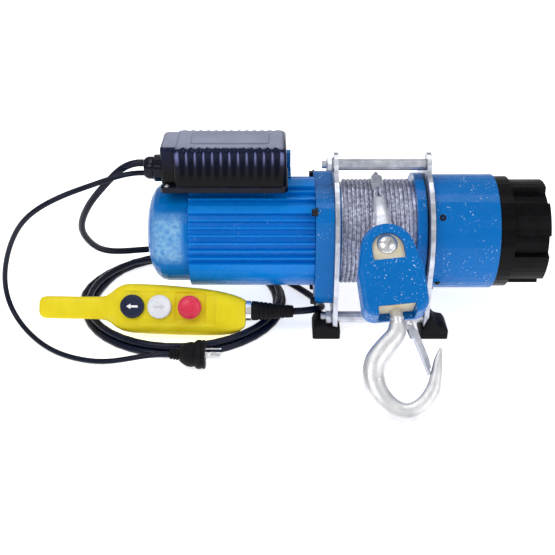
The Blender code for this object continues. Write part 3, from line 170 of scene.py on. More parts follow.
# ---------------------------------------------------------------- materials
class Look:
    """A node material under construction: its Principled shader and the helpers that feed it."""

    def __init__(self, name, roughness, metallic=0.0, coat=0.0, specular=0.5):
        self.material = bpy.data.materials.new(name)
        self.material.use_nodes = True
        self.tree = self.material.node_tree
        self.shader = self.tree.nodes["Principled BSDF"]
        self.shader.inputs["Roughness"].default_value = roughness
        self.shader.inputs["Metallic"].default_value = metallic
        self.shader.inputs["Specular IOR Level"].default_value = specular
        self.shader.inputs["Coat Weight"].default_value = coat
        self.shader.inputs["Coat Roughness"].default_value = 0.08
        self.place = self.add("ShaderNodeTexCoord").outputs["Object"]

    def add(self, kind, **settings):
        made = self.tree.nodes.new(kind)
        for key, value in settings.items():
            setattr(made, key, value)
        return made

    def link(self, output, socket):
        self.tree.links.new(output, socket)

    def noise(self, scale, detail=3.0, stretch=(1.0, 1.0, 1.0)):
        """Noise in 0 to 1; scale is in features per metre."""
        mapping = self.add("ShaderNodeMapping")
        mapping.inputs["Scale"].default_value = stretch
        self.link(self.place, mapping.inputs["Vector"])
        texture = self.add("ShaderNodeTexNoise")
        texture.inputs["Scale"].default_value = scale
        texture.inputs["Detail"].default_value = detail
        self.link(mapping.outputs["Vector"], texture.inputs["Vector"])
        return texture.outputs["Fac"]

    def ranged(self, value, low, high, to_low, to_high):
        """Map a value's range to another, clamped."""
        node = self.add("ShaderNodeMapRange")
        node.inputs["From Min"].default_value = low
        node.inputs["From Max"].default_value = high
        node.inputs["To Min"].default_value = to_low
        node.inputs["To Max"].default_value = to_high
        self.link(value, node.inputs["Value"])
        return node.outputs["Result"]

    def blend(self, factor, first, second):
        """Mix two colours, each a colour or a socket."""
        node = self.add("ShaderNodeMix", data_type="RGBA")
        self.link(factor, node.inputs["Factor"])
        for socket, colour in ((node.inputs[6], first), (node.inputs[7], second)):
            if isinstance(colour, tuple):
                socket.default_value = (*colour, 1.0)
            else:
                self.link(colour, socket)
        return node.outputs[2]

    def colour(self, value):
        self.link(value, self.shader.inputs["Base Color"])

    def roughness(self, value):
        self.link(value, self.shader.inputs["Roughness"])

    def relief(self, layers, edge=0.0):
        """Stack bumps, each (height, depth in metres), over edges rounded by a radius."""
        normal = None
        if edge:
            rounded = self.add("ShaderNodeBevel", samples=4)
            rounded.inputs["Radius"].default_value = edge
            normal = rounded.outputs["Normal"]
        for height, depth in layers:
            bump = self.add("ShaderNodeBump")
            bump.inputs["Distance"].default_value = depth
            self.link(height, bump.inputs["Height"])
            if normal:
                self.link(normal, bump.inputs["Normal"])
            normal = bump.outputs["Normal"]
        self.link(normal, self.shader.inputs["Normal"])

    def product(self, first, second):
        node = self.add("ShaderNodeMath", operation="MULTIPLY")
        self.link(first, node.inputs[0])
        self.link(second, node.inputs[1])
        return node.outputs[0]


def cast_paint(name, glint_amount, roughness=0.22, painted_lift=1.0):
    """Glossy blue enamel over a casting: orange peel, soft waves and pale dots painted in as glints of light;
    a lift above 1 brightens the blue as painted light.
    """
    look = Look(name, roughness, coat=0.08, specular=0.12)
    # painted light: a lift above 1 brightens the blue to stand in for light the part does not catch
    dark, pale = ((0.0, green * painted_lift, blue * painted_lift) for green, blue in ((0.125, 0.42), (0.150, 0.49)))
    tint = look.blend(look.noise(22, 4), dark, pale)
    # painted highlights: pale glint dots, gathered in patches, set into the colour
    glint_dots = look.ranged(look.noise(430, 2), 0.66, 0.71, 0.0, 1.0)
    glint_patches = look.ranged(look.noise(34, 3), 0.60 - 0.22 * glint_amount, 0.72 - 0.20 * glint_amount, 0.0, 1.0)
    painted_glints = look.product(glint_dots, glint_patches)
    look.colour(look.blend(painted_glints, tint, (0.62, 0.78, 0.90)))
    look.roughness(look.ranged(look.noise(60, 4), 0.3, 0.7, roughness - 0.06, roughness + 0.12))
    look.relief([(look.noise(75, 3), 0.0009), (look.noise(700, 2), 0.00012)], 0.0016)
    return look.material


def pale_patch_paint(name):
    """The end cover's enamel, with a pale, rougher patch on the side toward the hook."""
    look = Look(name, 0.25, coat=0.08, specular=0.12)
    tint = look.blend(look.noise(22, 4), (0.0, 0.140, 0.46), (0.0, 0.165, 0.54))
    low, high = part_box("motor_end_cover")
    across = look.add("ShaderNodeSeparateXYZ")
    look.link(look.place, across.inputs["Vector"])
    # a pale, rougher patch on the front face, softened at its edges
    pale_patch = look.ranged(look.noise(190, 6), 0.22, 0.66, 0.1, 0.85)
    limits = (("X", low.x + 0.006, high.x - 0.004, 0.009), ("Z", AXIS.z - 0.020, AXIS.z + 0.050, 0.014))
    for output, start, end, soft in limits:
        pale_patch = look.product(pale_patch, look.ranged(across.outputs[output], start, start + soft, 0.0, 1.0))
        pale_patch = look.product(pale_patch, look.ranged(across.outputs[output], end - soft, end, 1.0, 0.0))
    pale_patch = look.product(pale_patch, look.ranged(across.outputs["Y"], AXIS.y - 0.030, AXIS.y - 0.036, 0.0, 1.0))
    look.colour(look.blend(pale_patch, tint, (0.26, 0.50, 0.72)))
    look.roughness(look.ranged(pale_patch, 0.0, 1.0, 0.22, 0.5))
    look.relief([(look.noise(75, 3), 0.0007), (look.noise(700, 2), 0.00012)], 0.0016)
    return look.material


def bare_metal(name, dark, pale, rough, mottle=70, edge=0.0006, streak=(1.0, 1.0, 1.0), depth=0.00008):
    """Plated or machined steel, mottled, with faint streaks."""
    look = Look(name, rough, metallic=0.88)
    look.colour(look.blend(look.ranged(look.noise(mottle, 5), 0.32, 0.68, 0.0, 1.0), dark, pale))
    look.roughness(look.ranged(look.noise(mottle * 2.4, 4, streak), 0.3, 0.7, rough - 0.10, rough + 0.12))
    look.relief([(look.noise(520, 3, streak), depth)], edge)
    return look.material


def moulded(name, dark, pale, rough, grain=1500, depth=0.00003, coat=0.0, edge=0.0006, specular=0.3):
    """Moulded plastic or rubber with a fine grain."""
    look = Look(name, rough, coat=coat, specular=specular)
    look.colour(look.blend(look.ranged(look.noise(45, 4), 0.3, 0.7, 0.0, 1.0), dark, pale))
    look.roughness(look.ranged(look.noise(110, 4), 0.3, 0.7, rough - 0.07, rough + 0.10))
    look.relief([(look.noise(grain, 2), depth)], edge)
    return look.material


def box_plastic(name):
    """Glossy black plastic: upward faces painted pale as a sheen of reflected light, painted highlights on
    the front rib crests, and painted shade darker toward the bottom.
    """
    look = Look(name, 0.20, coat=0.06, specular=0.10)
    normal = look.add("ShaderNodeSeparateXYZ")
    look.link(look.add("ShaderNodeNewGeometry").outputs["Normal"], normal.inputs["Vector"])
    # painted reflection: upward faces turn pale as if lit from above, varied at random
    upward = look.ranged(normal.outputs["Z"], 0.80, 0.99, 0.0, 1.0)
    painted_top_sheen = look.product(upward, look.ranged(look.noise(30, 4), 0.2, 0.6, 0.75, 1.0))
    place = look.add("ShaderNodeSeparateXYZ")
    look.link(look.place, place.inputs["Vector"])
    low, high = BOX_COVER
    # painted highlight on the crests of the front ribs, above their foot
    front = look.ranged(place.outputs["Y"], low.y + 0.0003, low.y + 0.0014, 0.9, 0.0)
    ribs = look.product(front, look.ranged(place.outputs["Z"], RIB_FOOT, RIB_FOOT + 0.012, 0.0, 1.0))
    # painted shade: near black at the bottom, bluer toward the top
    height = look.ranged(place.outputs["Z"], low.z, high.z, 0.0, 1.0)
    dark = look.blend(height, (0.001, 0.001, 0.002), (0.006, 0.009, 0.034))
    look.colour(look.blend(painted_top_sheen, look.blend(ribs, dark, (0.16, 0.17, 0.36)), (0.29, 0.31, 0.42)))
    look.roughness(look.ranged(painted_top_sheen, 0.0, 1.0, 0.18, 0.42))
    look.relief([(look.noise(900, 2), 0.00003)], 0.0006)
    return look.material


def windings_look(name):
    """Varnished copper wire laid round a core."""
    look = Look(name, 0.35, metallic=0.7, coat=0.4)
    strands = look.noise(900, 1, (0.15, 1.0, 1.0))
    look.colour(look.blend(strands, (0.20, 0.06, 0.02), (0.62, 0.27, 0.11)))
    look.relief([(strands, 0.0004)])
    return look.material


def make_looks():
    """Every finish on the hoist."""
    return {
        # each casting enamel's number sets how densely it carries painted glints
        "blue": cast_paint("blue_enamel", 0.55),
        # the motor housing's blue is brightened 1.45 times as painted light, for light its fins do not catch
        "blue_smooth": cast_paint("blue_enamel_smooth", 0.10, 0.26, 1.45),
        "blue_glinted": cast_paint("blue_enamel_glinted", 0.85),
        "blue_pale_patch": pale_patch_paint("blue_enamel_pale_patch"),
        "zinc": bare_metal("zinc_plate", (0.40, 0.42, 0.48), (0.66, 0.67, 0.73), 0.38),
        "forged": bare_metal(
            "forged_zinc", (0.60, 0.60, 0.62), (0.86, 0.86, 0.86), 0.42, 38, 0.001, depth=0.00025
        ),
        "steel": bare_metal(
            "machined_steel", (0.45, 0.45, 0.46), (0.66, 0.66, 0.67), 0.26, 90, 0.0003, (12.0, 1.0, 1.0)
        ),
        "rope": bare_metal("galvanised_rope", (0.24, 0.25, 0.34), (0.76, 0.78, 0.92), 0.46, 240, 0.0),
        "chrome": bare_metal("bright_chrome", (0.80, 0.81, 0.83), (0.92, 0.92, 0.93), 0.16, 60),
        "iron": bare_metal(
            "laminated_iron", (0.14, 0.14, 0.15), (0.26, 0.26, 0.27), 0.5, 300, 0.0, (60.0, 1.0, 1.0), 0.0003
        ),
        "copper": windings_look("varnished_copper"),
        "box": box_plastic("gloss_box_plastic"),
        "gloss_black": moulded(
            "gloss_black_plastic", (0.002, 0.0024, 0.007), (0.005, 0.006, 0.018),
            0.22, 900, 0.00004, 0.06, specular=0.14
        ),
        "black": moulded(
            "satin_black_plastic", (0.0015, 0.0015, 0.002), (0.004, 0.004, 0.005),
            0.30, 1100, 0.00005, 0.0, specular=0.08
        ),
        "rubber": moulded(
            "black_rubber", (0.003, 0.003, 0.004), (0.008, 0.008, 0.009), 0.58, 800, 0.0001, specular=0.12
        ),
        "cable": moulded(
            "cable_sheath", (0.003, 0.004, 0.012), (0.006, 0.009, 0.026), 0.26, 600, 0.00006, 0.04, 0.0, 0.14
        ),
        "yellow": moulded(
            "yellow_plastic", (0.76, 0.60, 0.006), (0.82, 0.68, 0.014), 0.38, 1300, 0.00006, 0.0, specular=0.2
        ),
        "navy": moulded(
            "navy_plastic", (0.004, 0.007, 0.030), (0.009, 0.014, 0.050), 0.28, 1400, 0.00002, 0.15
        ),
        "white": moulded("white_plastic", (0.70, 0.71, 0.76), (0.80, 0.81, 0.85), 0.32, 1400, 0.00002, 0.2),
        "mark": moulded("mark_white", (0.86, 0.86, 0.88), (0.92, 0.92, 0.93), 0.45, 1400, 0.00001),
        "faint": moulded("mark_grey", (0.56, 0.57, 0.62), (0.62, 0.63, 0.68), 0.45, 1400, 0.00001),
        "red": moulded("red_plastic", (0.62, 0.020, 0.060), (0.72, 0.036, 0.085), 0.34, 1400, 0.00002, 0.1),
        "grey": moulded("grey_plastic", (0.20, 0.21, 0.22), (0.30, 0.31, 0.32), 0.5),
        "cream": moulded("cream_primer", (0.55, 0.46, 0.30), (0.74, 0.68, 0.52), 0.55, 500, 0.0001),
        "oxide": bare_metal(
            "blackened_screw", (0.010, 0.010, 0.011), (0.035, 0.035, 0.037), 0.4, 200, 0.0003
        ),
    }


LOOKS = make_looks()


# ---------------------------------------------------------------- making pieces
def piece(name, points, faces, look, body, place=None, sharp=35):
    """A smooth mesh piece that rides on a body."""
    mesh = bpy.data.meshes.new(name)
    mesh.from_pydata([tuple(point) for point in points], [], faces)
    if place:
        mesh.transform(place)
    mesh.materials.append(LOOKS[look])
    mesh.shade_smooth()
    mesh.set_sharp_from_angle(angle=math.radians(sharp))
    made = bpy.data.objects.new(name, mesh)
    bpy.context.scene.collection.objects.link(made)
    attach(made, body)
    return made


def lofted(rings, closed=False):
    """Points and outward faces through rings of equal count; the ends are capped unless it closes."""
    count = len(rings[0])
    points = [point for ring in rings for point in ring]
    faces = []
    pairs = len(rings) if closed else len(rings) - 1
    for i in range(pairs):
        here, there = i * count, (i + 1) % len(rings) * count
        for j in range(count):
            k = (j + 1) % count
            faces.append((here + j, here + k, there + k, there + j))
    if not closed:
        faces.append(tuple(reversed(range(count))))
        faces.append(tuple(range(len(points) - count, len(points))))
    return points, faces


def circle_ring(radius, height, sides):
    return [
        (radius * math.cos(math.tau * i / sides), radius * math.sin(math.tau * i / sides), height)
        for i in range(sides)
    ]


def turned(name, profile, look, body, place, sides=56):
    """A solid turned about local Z from (radius, height) pairs in rising order."""
    rings = [circle_ring(max(radius, 0.00002), height, sides) for radius, height in profile]
    return piece(name, *lofted(rings), look, body, place)


def prism(name, sides, profile, look, body, place, roundness):
    """A nut-like solid: an n-sided section with soft corners, from (radius, height) pairs."""
    rings = []
    for radius, height in profile:
        ring = []
        for i in range(sides * 8):
            angle = math.tau * i / (sides * 8)
            off = (angle + math.pi / sides) % (math.tau / sides) - math.pi / sides
            flat = math.cos(math.pi / sides) / math.cos(off)
            reach = radius * min(flat, 1.0 - roundness * (1 - math.cos(math.pi / sides)))
            ring.append((reach * math.cos(angle), reach * math.sin(angle), height))
        rings.append(ring)
    return piece(name, *lofted(rings), look, body, place, 25)


def bored_ring(name, sides, outer, inner, thickness, look, body, place):
    """A washer or nut with a hole; a nut has 6 sides."""
    chamfer = thickness * 0.14
    hexagonal = sides == 6
    rings = []
    steps = 48
    for radius, height, is_outer in (
        (outer - chamfer, 0.0, True),
        (outer, chamfer, True),
        (outer, thickness - chamfer, True),
        (outer - chamfer, thickness, True),
        (inner, thickness, False),
        (inner, 0.0, False),
    ):
        ring = []
        for i in range(steps):
            angle = math.tau * i / steps
            reach = radius
            if hexagonal and is_outer:
                off = (angle + math.pi / 6) % (math.pi / 3) - math.pi / 6
                reach = radius * math.cos(math.pi / 6) / math.cos(off)
            ring.append((reach * math.cos(angle), reach * math.sin(angle), height))
        rings.append(ring)
    return piece(name, *lofted(rings, closed=True), look, body, place, 25)


def toward(place, direction):
    """A frame at a place whose +Z points in a direction."""
    return Matrix.Translation(place) @ Vector(direction).to_track_quat("Z", "Y").to_matrix().to_4x4()


def arc(x, z, radius, angles):
    """(x, z) pairs on an arc, at angles in degrees."""
    turns = [math.radians(angle) for angle in angles]
    return [(x + radius * math.cos(turn), z + radius * math.sin(turn)) for turn in turns]


def across_y(outline, *stations):
    """An outline of (x, z) pairs set at each station along Y."""
    return [[(x, y, z) for x, z in outline] for y in stations]


def curve_point(before, start, end, after, share):
    """The point a share of the way from start to end on a smooth curve through all four."""
    straight = 2 * start + (end - before) * share
    bend = (2 * before - 5 * start + 4 * end - after) * share**2
    twist = (3 * start - before - 3 * end + after) * share**3
    return (straight + bend + twist) / 2


def smooth_route(route, spacing):
    """Evenly spaced points on a smooth curve through the route's own points."""
    stops = [Vector(stop) for stop in route]
    stops = [2 * stops[0] - stops[1]] + stops + [2 * stops[-1] - stops[-2]]
    fine = []
    for before, start, end, after in zip(stops, stops[1:], stops[2:], stops[3:]):
        for i in range(24):
            fine.append(curve_point(before, start, end, after, i / 24))
    fine.append(stops[-2])
    travelled = [0.0]
    for here, there in zip(fine, fine[1:]):
        travelled.append(travelled[-1] + (there - here).length)
    count = max(2, round(travelled[-1] / spacing))
    spaced = []
    k = 0
    for i in range(count + 1):
        target = travelled[-1] * i / count
        while k < len(fine) - 2 and travelled[k + 1] < target:
            k += 1
        share = (target - travelled[k]) / max(travelled[k + 1] - travelled[k], 1e-9)
        spaced.append(fine[k].lerp(fine[k + 1], min(1.0, share)))
    return spaced


def cable(name, points, radius, look, body):
    """A round flexible cable along points."""
    data = bpy.data.curves.new(name, "CURVE")
    data.dimensions = "3D"
    data.bevel_depth = radius
    data.bevel_resolution = 5
    data.use_fill_caps = True
    spline = data.splines.new("POLY")
    spline.points.add(len(points) - 1)
    for target, point in zip(spline.points, points):
        target.co = (*point, 1.0)
    spline.use_smooth = True
    data.materials.append(LOOKS[look])
    made = bpy.data.objects.new(name, data)
    bpy.context.scene.collection.objects.link(made)
    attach(made, body)
    return made


def stranded_rope(name, points, body):
    """A laid rope along points: a section of round strands that turns as it goes."""
    sides = ROPE_STRANDS * 4
    strand, reach = ROPE_RADIUS / 3, ROPE_RADIUS * 2 / 3
    section = []
    for i in range(sides):
        off = (i % 4) / 4 * math.tau / ROPE_STRANDS - math.pi / ROPE_STRANDS
        bulge = strand**2 - (reach * math.sin(off)) ** 2
        section.append(reach * math.cos(off) + math.sqrt(max(0.0, bulge)))
    side = None
    travelled = 0.0
    rings = []
    for i, point in enumerate(points):
        ahead = points[min(i + 1, len(points) - 1)] - points[max(i - 1, 0)]
        ahead.normalize()
        if side is None:
            side = ahead.orthogonal().normalized()
        side = (side - ahead * side.dot(ahead)).normalized()
        up = ahead.cross(side)
        if i:
            travelled += (point - points[i - 1]).length
        ring = []
        for j, radius in enumerate(section):
            angle = math.tau * (j / sides + travelled / ROPE_LAY)
            ring.append(point + (side * math.cos(angle) + up * math.sin(angle)) * radius)
        rings.append(ring)
    return piece(name, *lofted(rings), "rope", body, sharp=75)


# ---------------------------------------------------------------- cords
def gland_exit(side):
    """Where a cable leaves the gland nut; side is 1 for the upper cable."""
    return Vector((GLAND_NUT[0].x - 0.0009, GLAND_CENTRE.y, GLAND_CENTRE.z + side * CABLE_SPREAD))


def coil_lane(angle):
    """Distance from the coil's centre circle and height of the cable at an angle in degrees, which falls
    as the cable runs on. The three turns lie on top, inside and outside, and it leaves beside them."""
    beside, low, high = 0.0048, CABLE_RADIUS, 0.0134
    lanes = [
        (COIL_ENTRY, 0.0, high),
        (130 - 360, 0.0, high),
        (95 - 360, -beside, low),
        (165 - 720, -beside, low),
        (130 - 720, beside, low),
        (200 - 1080, beside, low),
        (165 - 1080, 3 * beside, low),
        (COIL_EXIT - 1080, 3 * beside, low),
    ]
    lanes.sort(key=lambda lane: -lane[0])
    for (start, radial, height), (end, next_radial, next_height) in zip(lanes, lanes[1:]):
        if angle >= end:
            share = (start - angle) / (start - end)
            share = share * share * (3 - 2 * share)
            return radial + (next_radial - radial) * share, height + (next_height - height) * share
    return lanes[-1][1:]


def coil_points():
    """The coiled part of the control cable, clockwise from above."""
    points = []
    last = COIL_EXIT - 360 * COIL_TURNS
    steps = round((COIL_ENTRY - last) / 9)
    for i in range(steps + 1):
        angle = COIL_ENTRY + (last - COIL_ENTRY) * i / steps
        radial, height = coil_lane(angle)
        turn = math.radians(angle)
        reach = COIL_RADIUS + radial
        points.append(COIL_PLACE + Vector((reach * math.cos(turn), reach * math.sin(turn), height)))
    return points


def relaxed(points, rounds=10, fade=6):
    """Points eased toward their neighbours, less and less toward both ends."""
    last = len(points) - 1
    for _ in range(rounds):
        eased = [points[0]]
        for i in range(1, last):
            share = min(1.0, (min(i, last - i) - 1) / fade)
            middle = (points[i - 1] + points[i + 1]) / 2
            eased.append(points[i].lerp(middle, share / 2))
        points = eased + [points[-1]]
    return points


def make_cords():
    """The control cable and the power cord."""
    down = [
        gland_exit(1),
        (-0.1958, 0.0800, 0.2220),
        (-0.2067, 0.0801, 0.2206),
        (-0.2168, 0.0808, 0.2164),
        (-0.2255, 0.0828, 0.2097),
        (-0.2302, 0.0842, 0.2041),
        (-0.251, 0.090, 0.180),
        (-0.270, 0.100, 0.156),
        (-0.285, 0.115, 0.126),
        (-0.292, 0.130, 0.104),
        (-0.289, 0.150, 0.078),
        (-0.279, 0.175, 0.050),
        (-0.262, 0.198, 0.034),
        (-0.235, 0.222, 0.024),
        (-0.205, 0.2390, 0.0185),
        (-0.172, 0.2410, 0.0155),
    ]
    tail = [
        (-0.010, 0.166, 0.0052),
        (0.010, 0.143, 0.0052),
        (0.0310, 0.1150, 0.0052),
        (0.0425, 0.0920, 0.0066),
        (0.0462, 0.0680, 0.0135),
        (0.0456, 0.0546, 0.0205),
        (0.0408, 0.0415, 0.0270),
        (0.0322, 0.0305, 0.0315),
        (0.0212, 0.0236, 0.0336),
        PENDANT_FRAME @ Vector((RELIEF_END - 0.004, 0.0, 0.0)),
    ]
    coil = coil_points()
    route = relaxed(smooth_route(down + coil[:4], 0.008))
    route += coil[4:-4] + relaxed(smooth_route(coil[-4:] + tail, 0.008))
    control = cable("control_cable", route, CABLE_RADIUS, "cable", "frame")
    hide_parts("pendant_cable", "pendant_coil", "pendant_tail")
    supply = [
        gland_exit(-1),
        (-0.1950, 0.0800, 0.2080),
        (-0.2034, 0.0788, 0.2081),
        (-0.2112, 0.0755, 0.2084),
        (-0.2290, 0.0610, 0.2089),
        (-0.252, 0.041, 0.207),
        (-0.291, 0.025, 0.198),
        (-0.334, 0.025, 0.172),
        (-0.363, 0.039, 0.130),
        (-0.381, 0.047, 0.080),
        (-0.382, 0.044, 0.040),
        (-0.362, 0.023, 0.013),
        (-0.321, -0.020, 0.0046),
        (-0.283, -0.045, 0.0040),
        (-0.242, -0.0575, 0.0046),
        (-0.213, -0.0605, 0.0105),
        (-0.184, -0.0610, 0.0172),
        (PLUG[0].x - 0.0009, PLUG_AXIS.y, PLUG_AXIS.z),
    ]
    power = cable("supply_cord", relaxed(smooth_route(supply, 0.008)), CORD_RADIUS, "cable", "frame")
    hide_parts("power_cord")
    return control, power


def make_plug():
    """Moulded plug: ribbed sleeve, round grip, a broad shoulder, and flat bright pins."""
    start = PLUG[0].x
    body_length = 0.045
    profile = [(0.0, 0.0), (0.0054, 0.0)]
    for i in range(3):
        radius, at = 0.0062 + 0.0006 * i, 0.0012 + 0.0036 * i
        groove = radius - 0.0009
        profile += [(radius, at), (radius, at + 0.0020), (groove, at + 0.0024), (groove, at + 0.0032)]
    profile += [(0.0086, 0.0124), (0.0118, 0.0160), (0.0150, 0.0215), (0.0160, 0.0265), (0.0156, 0.0300)]
    profile += [(0.0152, 0.0315), (0.0176, 0.0335), (0.0185, 0.0355), (0.0185, 0.0395), (0.0176, 0.0405)]
    profile += [(0.0176, 0.0413), (0.0184, 0.0420), (0.0184, body_length - 0.0008), (0.0176, body_length)]
    profile += [(0.0, body_length)]
    place = Matrix.Translation(Vector((start, PLUG_AXIS.y, PLUG_AXIS.z))) @ ALONG_X
    plug = turned("plug_body", profile, "rubber", "frame", place, 48)
    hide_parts("power_plug")
    pieces = [plug]
    pins = ((-0.0069, 0.004, 30), (0.0069, 0.004, -30), (0.0, -0.0085, 90))
    for i, (across, up, turn) in enumerate(pins):
        wide, thick, long = 0.0032, 0.0008, PLUG[1].x - start - body_length
        rings = []
        for x, share in ((-0.004, 1.0), (long - 0.0014, 1.0), (long, 0.72)):
            corners = ((-1, -1), (1, -1), (1, 1), (-1, 1))
            rings.append([(x, wide * share * a, thick * share * b) for a, b in corners])
        spot = Vector((start + body_length, PLUG_AXIS.y + across, PLUG_AXIS.z + up))
        pin_place = Matrix.Translation(spot) @ Matrix.Rotation(math.radians(turn), 4, "X")
        pieces.append(piece(f"plug_pin_{i}", *lofted(rings), "chrome", "frame", pin_place))
    return pieces


# ---------------------------------------------------------------- rope
def wound_rope():
    """One layer of laid rope round the drum, over the layers beneath it."""
    radius = (WINDING[1].z - WINDING[0].z) / 2 - ROPE_RADIUS
    first, last = WINDING[0].x + ROPE_RADIUS, WINDING[1].x - ROPE_RADIUS
    steps = ROPE_TURNS * 144
    points = []
    for i in range(steps + 1):
        turn = math.tau * ROPE_TURNS * i / steps - math.radians(70)
        station = first + (last - first) * i / steps
        points.append(Vector((station, AXIS.y - radius * math.cos(turn), AXIS.z + radius * math.sin(turn))))
    rope = stranded_rope("wound_rope", points, "drum")
    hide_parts("rope_winding")
    width, under = WINDING[1].x - WINDING[0].x, radius - 0.0012
    profile = [(0.040, 0.0), (under, 0.0), (under, width), (0.040, width)]
    place = Matrix.Translation(Vector((WINDING[0].x, AXIS.y, AXIS.z))) @ ALONG_X
    turned("lower_rope_layers", profile, "rope", "drum", place)


def ferrule_end(along):
    """Point on the ferrule's centre line, from its middle toward the hook."""
    heading = Vector((0.0, -0.98, -0.19)).normalized()
    return Vector((LEAD_X, AXIS.y - 0.01475, AXIS.z + 0.0759)) + heading * along


def rope_lead():
    """The rope's last part-turn, from the drum to the ferrule."""
    radius = (WINDING[1].z - WINDING[0].z) / 2 + ROPE_RADIUS + 0.0006
    route = []
    for angle in (165, 150, 135, 120, 108):
        turn = math.radians(angle)
        route.append(Vector((LEAD_X, AXIS.y - radius * math.cos(turn), AXIS.z + radius * math.sin(turn))))
    route += [ferrule_end(-0.022), ferrule_end(-0.0135)]
    lead = stranded_rope("rope_lead_strands", smooth_route(route, 0.0022), "frame")
    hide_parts("rope_lead")


def rope_eye():
    """The rope's eye, from the ferrule round the thimble and back."""
    loop_radius = 0.0129
    loop = [BLOCK_FRAME @ Vector((x, 0.0, z)) for x, z in arc(0.0, 0.0, loop_radius, range(180, 361, 30))]
    middle = ferrule_end(0.022).lerp(BLOCK_FRAME @ Vector((0.0, 0.0, 0.012)), 0.55)
    sides = []
    for side in (-1, 1):
        sides.append([
            ferrule_end(0.0135) + Vector((side * 0.0034, 0.0, 0.0)),
            ferrule_end(0.022) + Vector((side * 0.0036, 0.0, 0.0)),
            middle + Vector((side * 0.0085, 0.0, 0.0)),
            BLOCK_FRAME @ Vector((side * loop_radius, 0.0, 0.010)),
        ])
    eye = smooth_route(sides[0] + loop + sides[1][::-1], 0.0022)
    made = stranded_rope("rope_eye_strands", eye, "frame")
    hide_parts("rope_eye")


def thimble_neck():
    """The thimble's closed neck, between the two sides of the eye."""
    crown = BLOCK_FRAME @ Vector((0.0, 0.0, 0.012))
    back = ferrule_end(0.022)
    side = Vector((1.0, 0.0, 0.0))
    outward = (crown - back).normalized().cross(side).normalized()
    sections = (
        (0.12, 0.0078, 0.0038), (0.14, 0.0084, 0.0043),
        (0.45, 0.0100, 0.0046), (0.82, 0.0125, 0.0046),
    )
    rings = []
    for share, wide, thick in sections:
        centre = back.lerp(crown, share)
        ring = []
        for i in range(32):
            angle = math.tau * i / 32
            ring.append(centre + side * wide * math.cos(angle) + outward * thick * math.sin(angle))
        rings.append(ring)
    piece("thimble_neck", *lofted(rings[::-1]), "zinc", "frame")


# ---------------------------------------------------------------- control box
def ribbed_outline(low, high, ribs, depth, corner):
    """Plan of the cover, anticlockwise: round corners, with narrow ribs along the front and back."""
    points = []
    length = high.x - low.x - 2 * corner
    samples = ribs * 10
    for side in (-1, 1):
        row = []
        for i in range(samples + 1):
            crest = abs(math.cos(math.pi * ribs * i / samples)) ** 5
            x = low.x + corner + length * i / samples
            edge = low.y + depth * (1 - crest) if side < 0 else high.y - depth * (1 - crest)
            row.append((x, edge))
        points += row if side < 0 else row[::-1]
        centres = ((high.x - corner, low.y + corner), (high.x - corner, high.y - corner))
        if side > 0:
            centres = ((low.x + corner, high.y - corner), (low.x + corner, low.y + corner))
        for turn, (x, y) in enumerate(centres):
            start = (-90 if side < 0 else 90) + 90 * turn
            for i in range(1, 8):
                angle = math.radians(start + 90 * i / 8)
                points.append((x + corner * math.cos(angle), y + corner * math.sin(angle)))
    return points


def scaled_ring(outline, centre, inset, half, height):
    """The outline drawn in by an inset on every side, at a height."""
    wide, deep = 1 - inset / half.x, 1 - inset / half.y
    return [(centre.x + (x - centre.x) * wide, centre.y + (y - centre.y) * deep, height) for x, y in outline]


def soft_slab(name, low, high, corner, levels, look):
    """A plate with round corners, from (inset, height) levels."""
    centre = (low + high) / 2
    half = (high - low) / 2
    outline = ribbed_outline(low, high, 1, 0.0, corner)
    rings = [scaled_ring(outline, centre, inset, half, height) for inset, height in levels]
    return piece(name, *lofted(rings), look, "frame", sharp=40)


def box_cover(lip_top):
    """Glossy cover, ribbed down to half its height, with a shallow panel on top."""
    low, high = BOX_COVER
    centre = (low + high) / 2
    half = (high - low) / 2
    ribs, corner = 12, 0.007
    plain = ribbed_outline(low, high, ribs, 0.0, corner)
    ribbed = ribbed_outline(low, high, ribs, 0.0030, corner)
    shoulder = high.z - 0.008
    rings = [scaled_ring(plain, centre, 0.0, half, height) for height in (lip_top, RIB_FOOT - 0.002)]
    rings.append(scaled_ring(ribbed, centre, 0.0, half, RIB_FOOT + 0.002))
    for degrees in range(0, 91, 15):
        turn = math.radians(degrees)
        inset, height = 0.008 * (1 - math.cos(turn)), shoulder + 0.008 * math.sin(turn)
        rings.append(scaled_ring(ribbed, centre, inset, half, height))
    body = piece("box_cover_ribbed", *lofted(rings), "box", "frame", sharp=50)
    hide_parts("control_box_cover", "control_box_base")
    near = Vector((BOX_BASE[0].x, low.y + 0.009, low.z))
    far = Vector((low.x + 0.012, high.y - 0.006, high.z))
    levels = [(0.0, lip_top)]
    for degrees in range(0, 91, 18):
        turn = math.radians(degrees)
        levels.append((0.005 * (1 - math.cos(turn)), high.z - 0.0062 + 0.005 * math.sin(turn)))
    soft_slab("box_cover_neck", near, far, 0.006, levels, "box")
    edge = Vector((0.022, 0.018, 0.0))
    levels = ((0.0, high.z - 0.001), (0.0, high.z + 0.0004), (0.001, high.z + 0.0010))
    soft_slab("box_top_panel", low + edge, high - edge, 0.006, levels, "box")


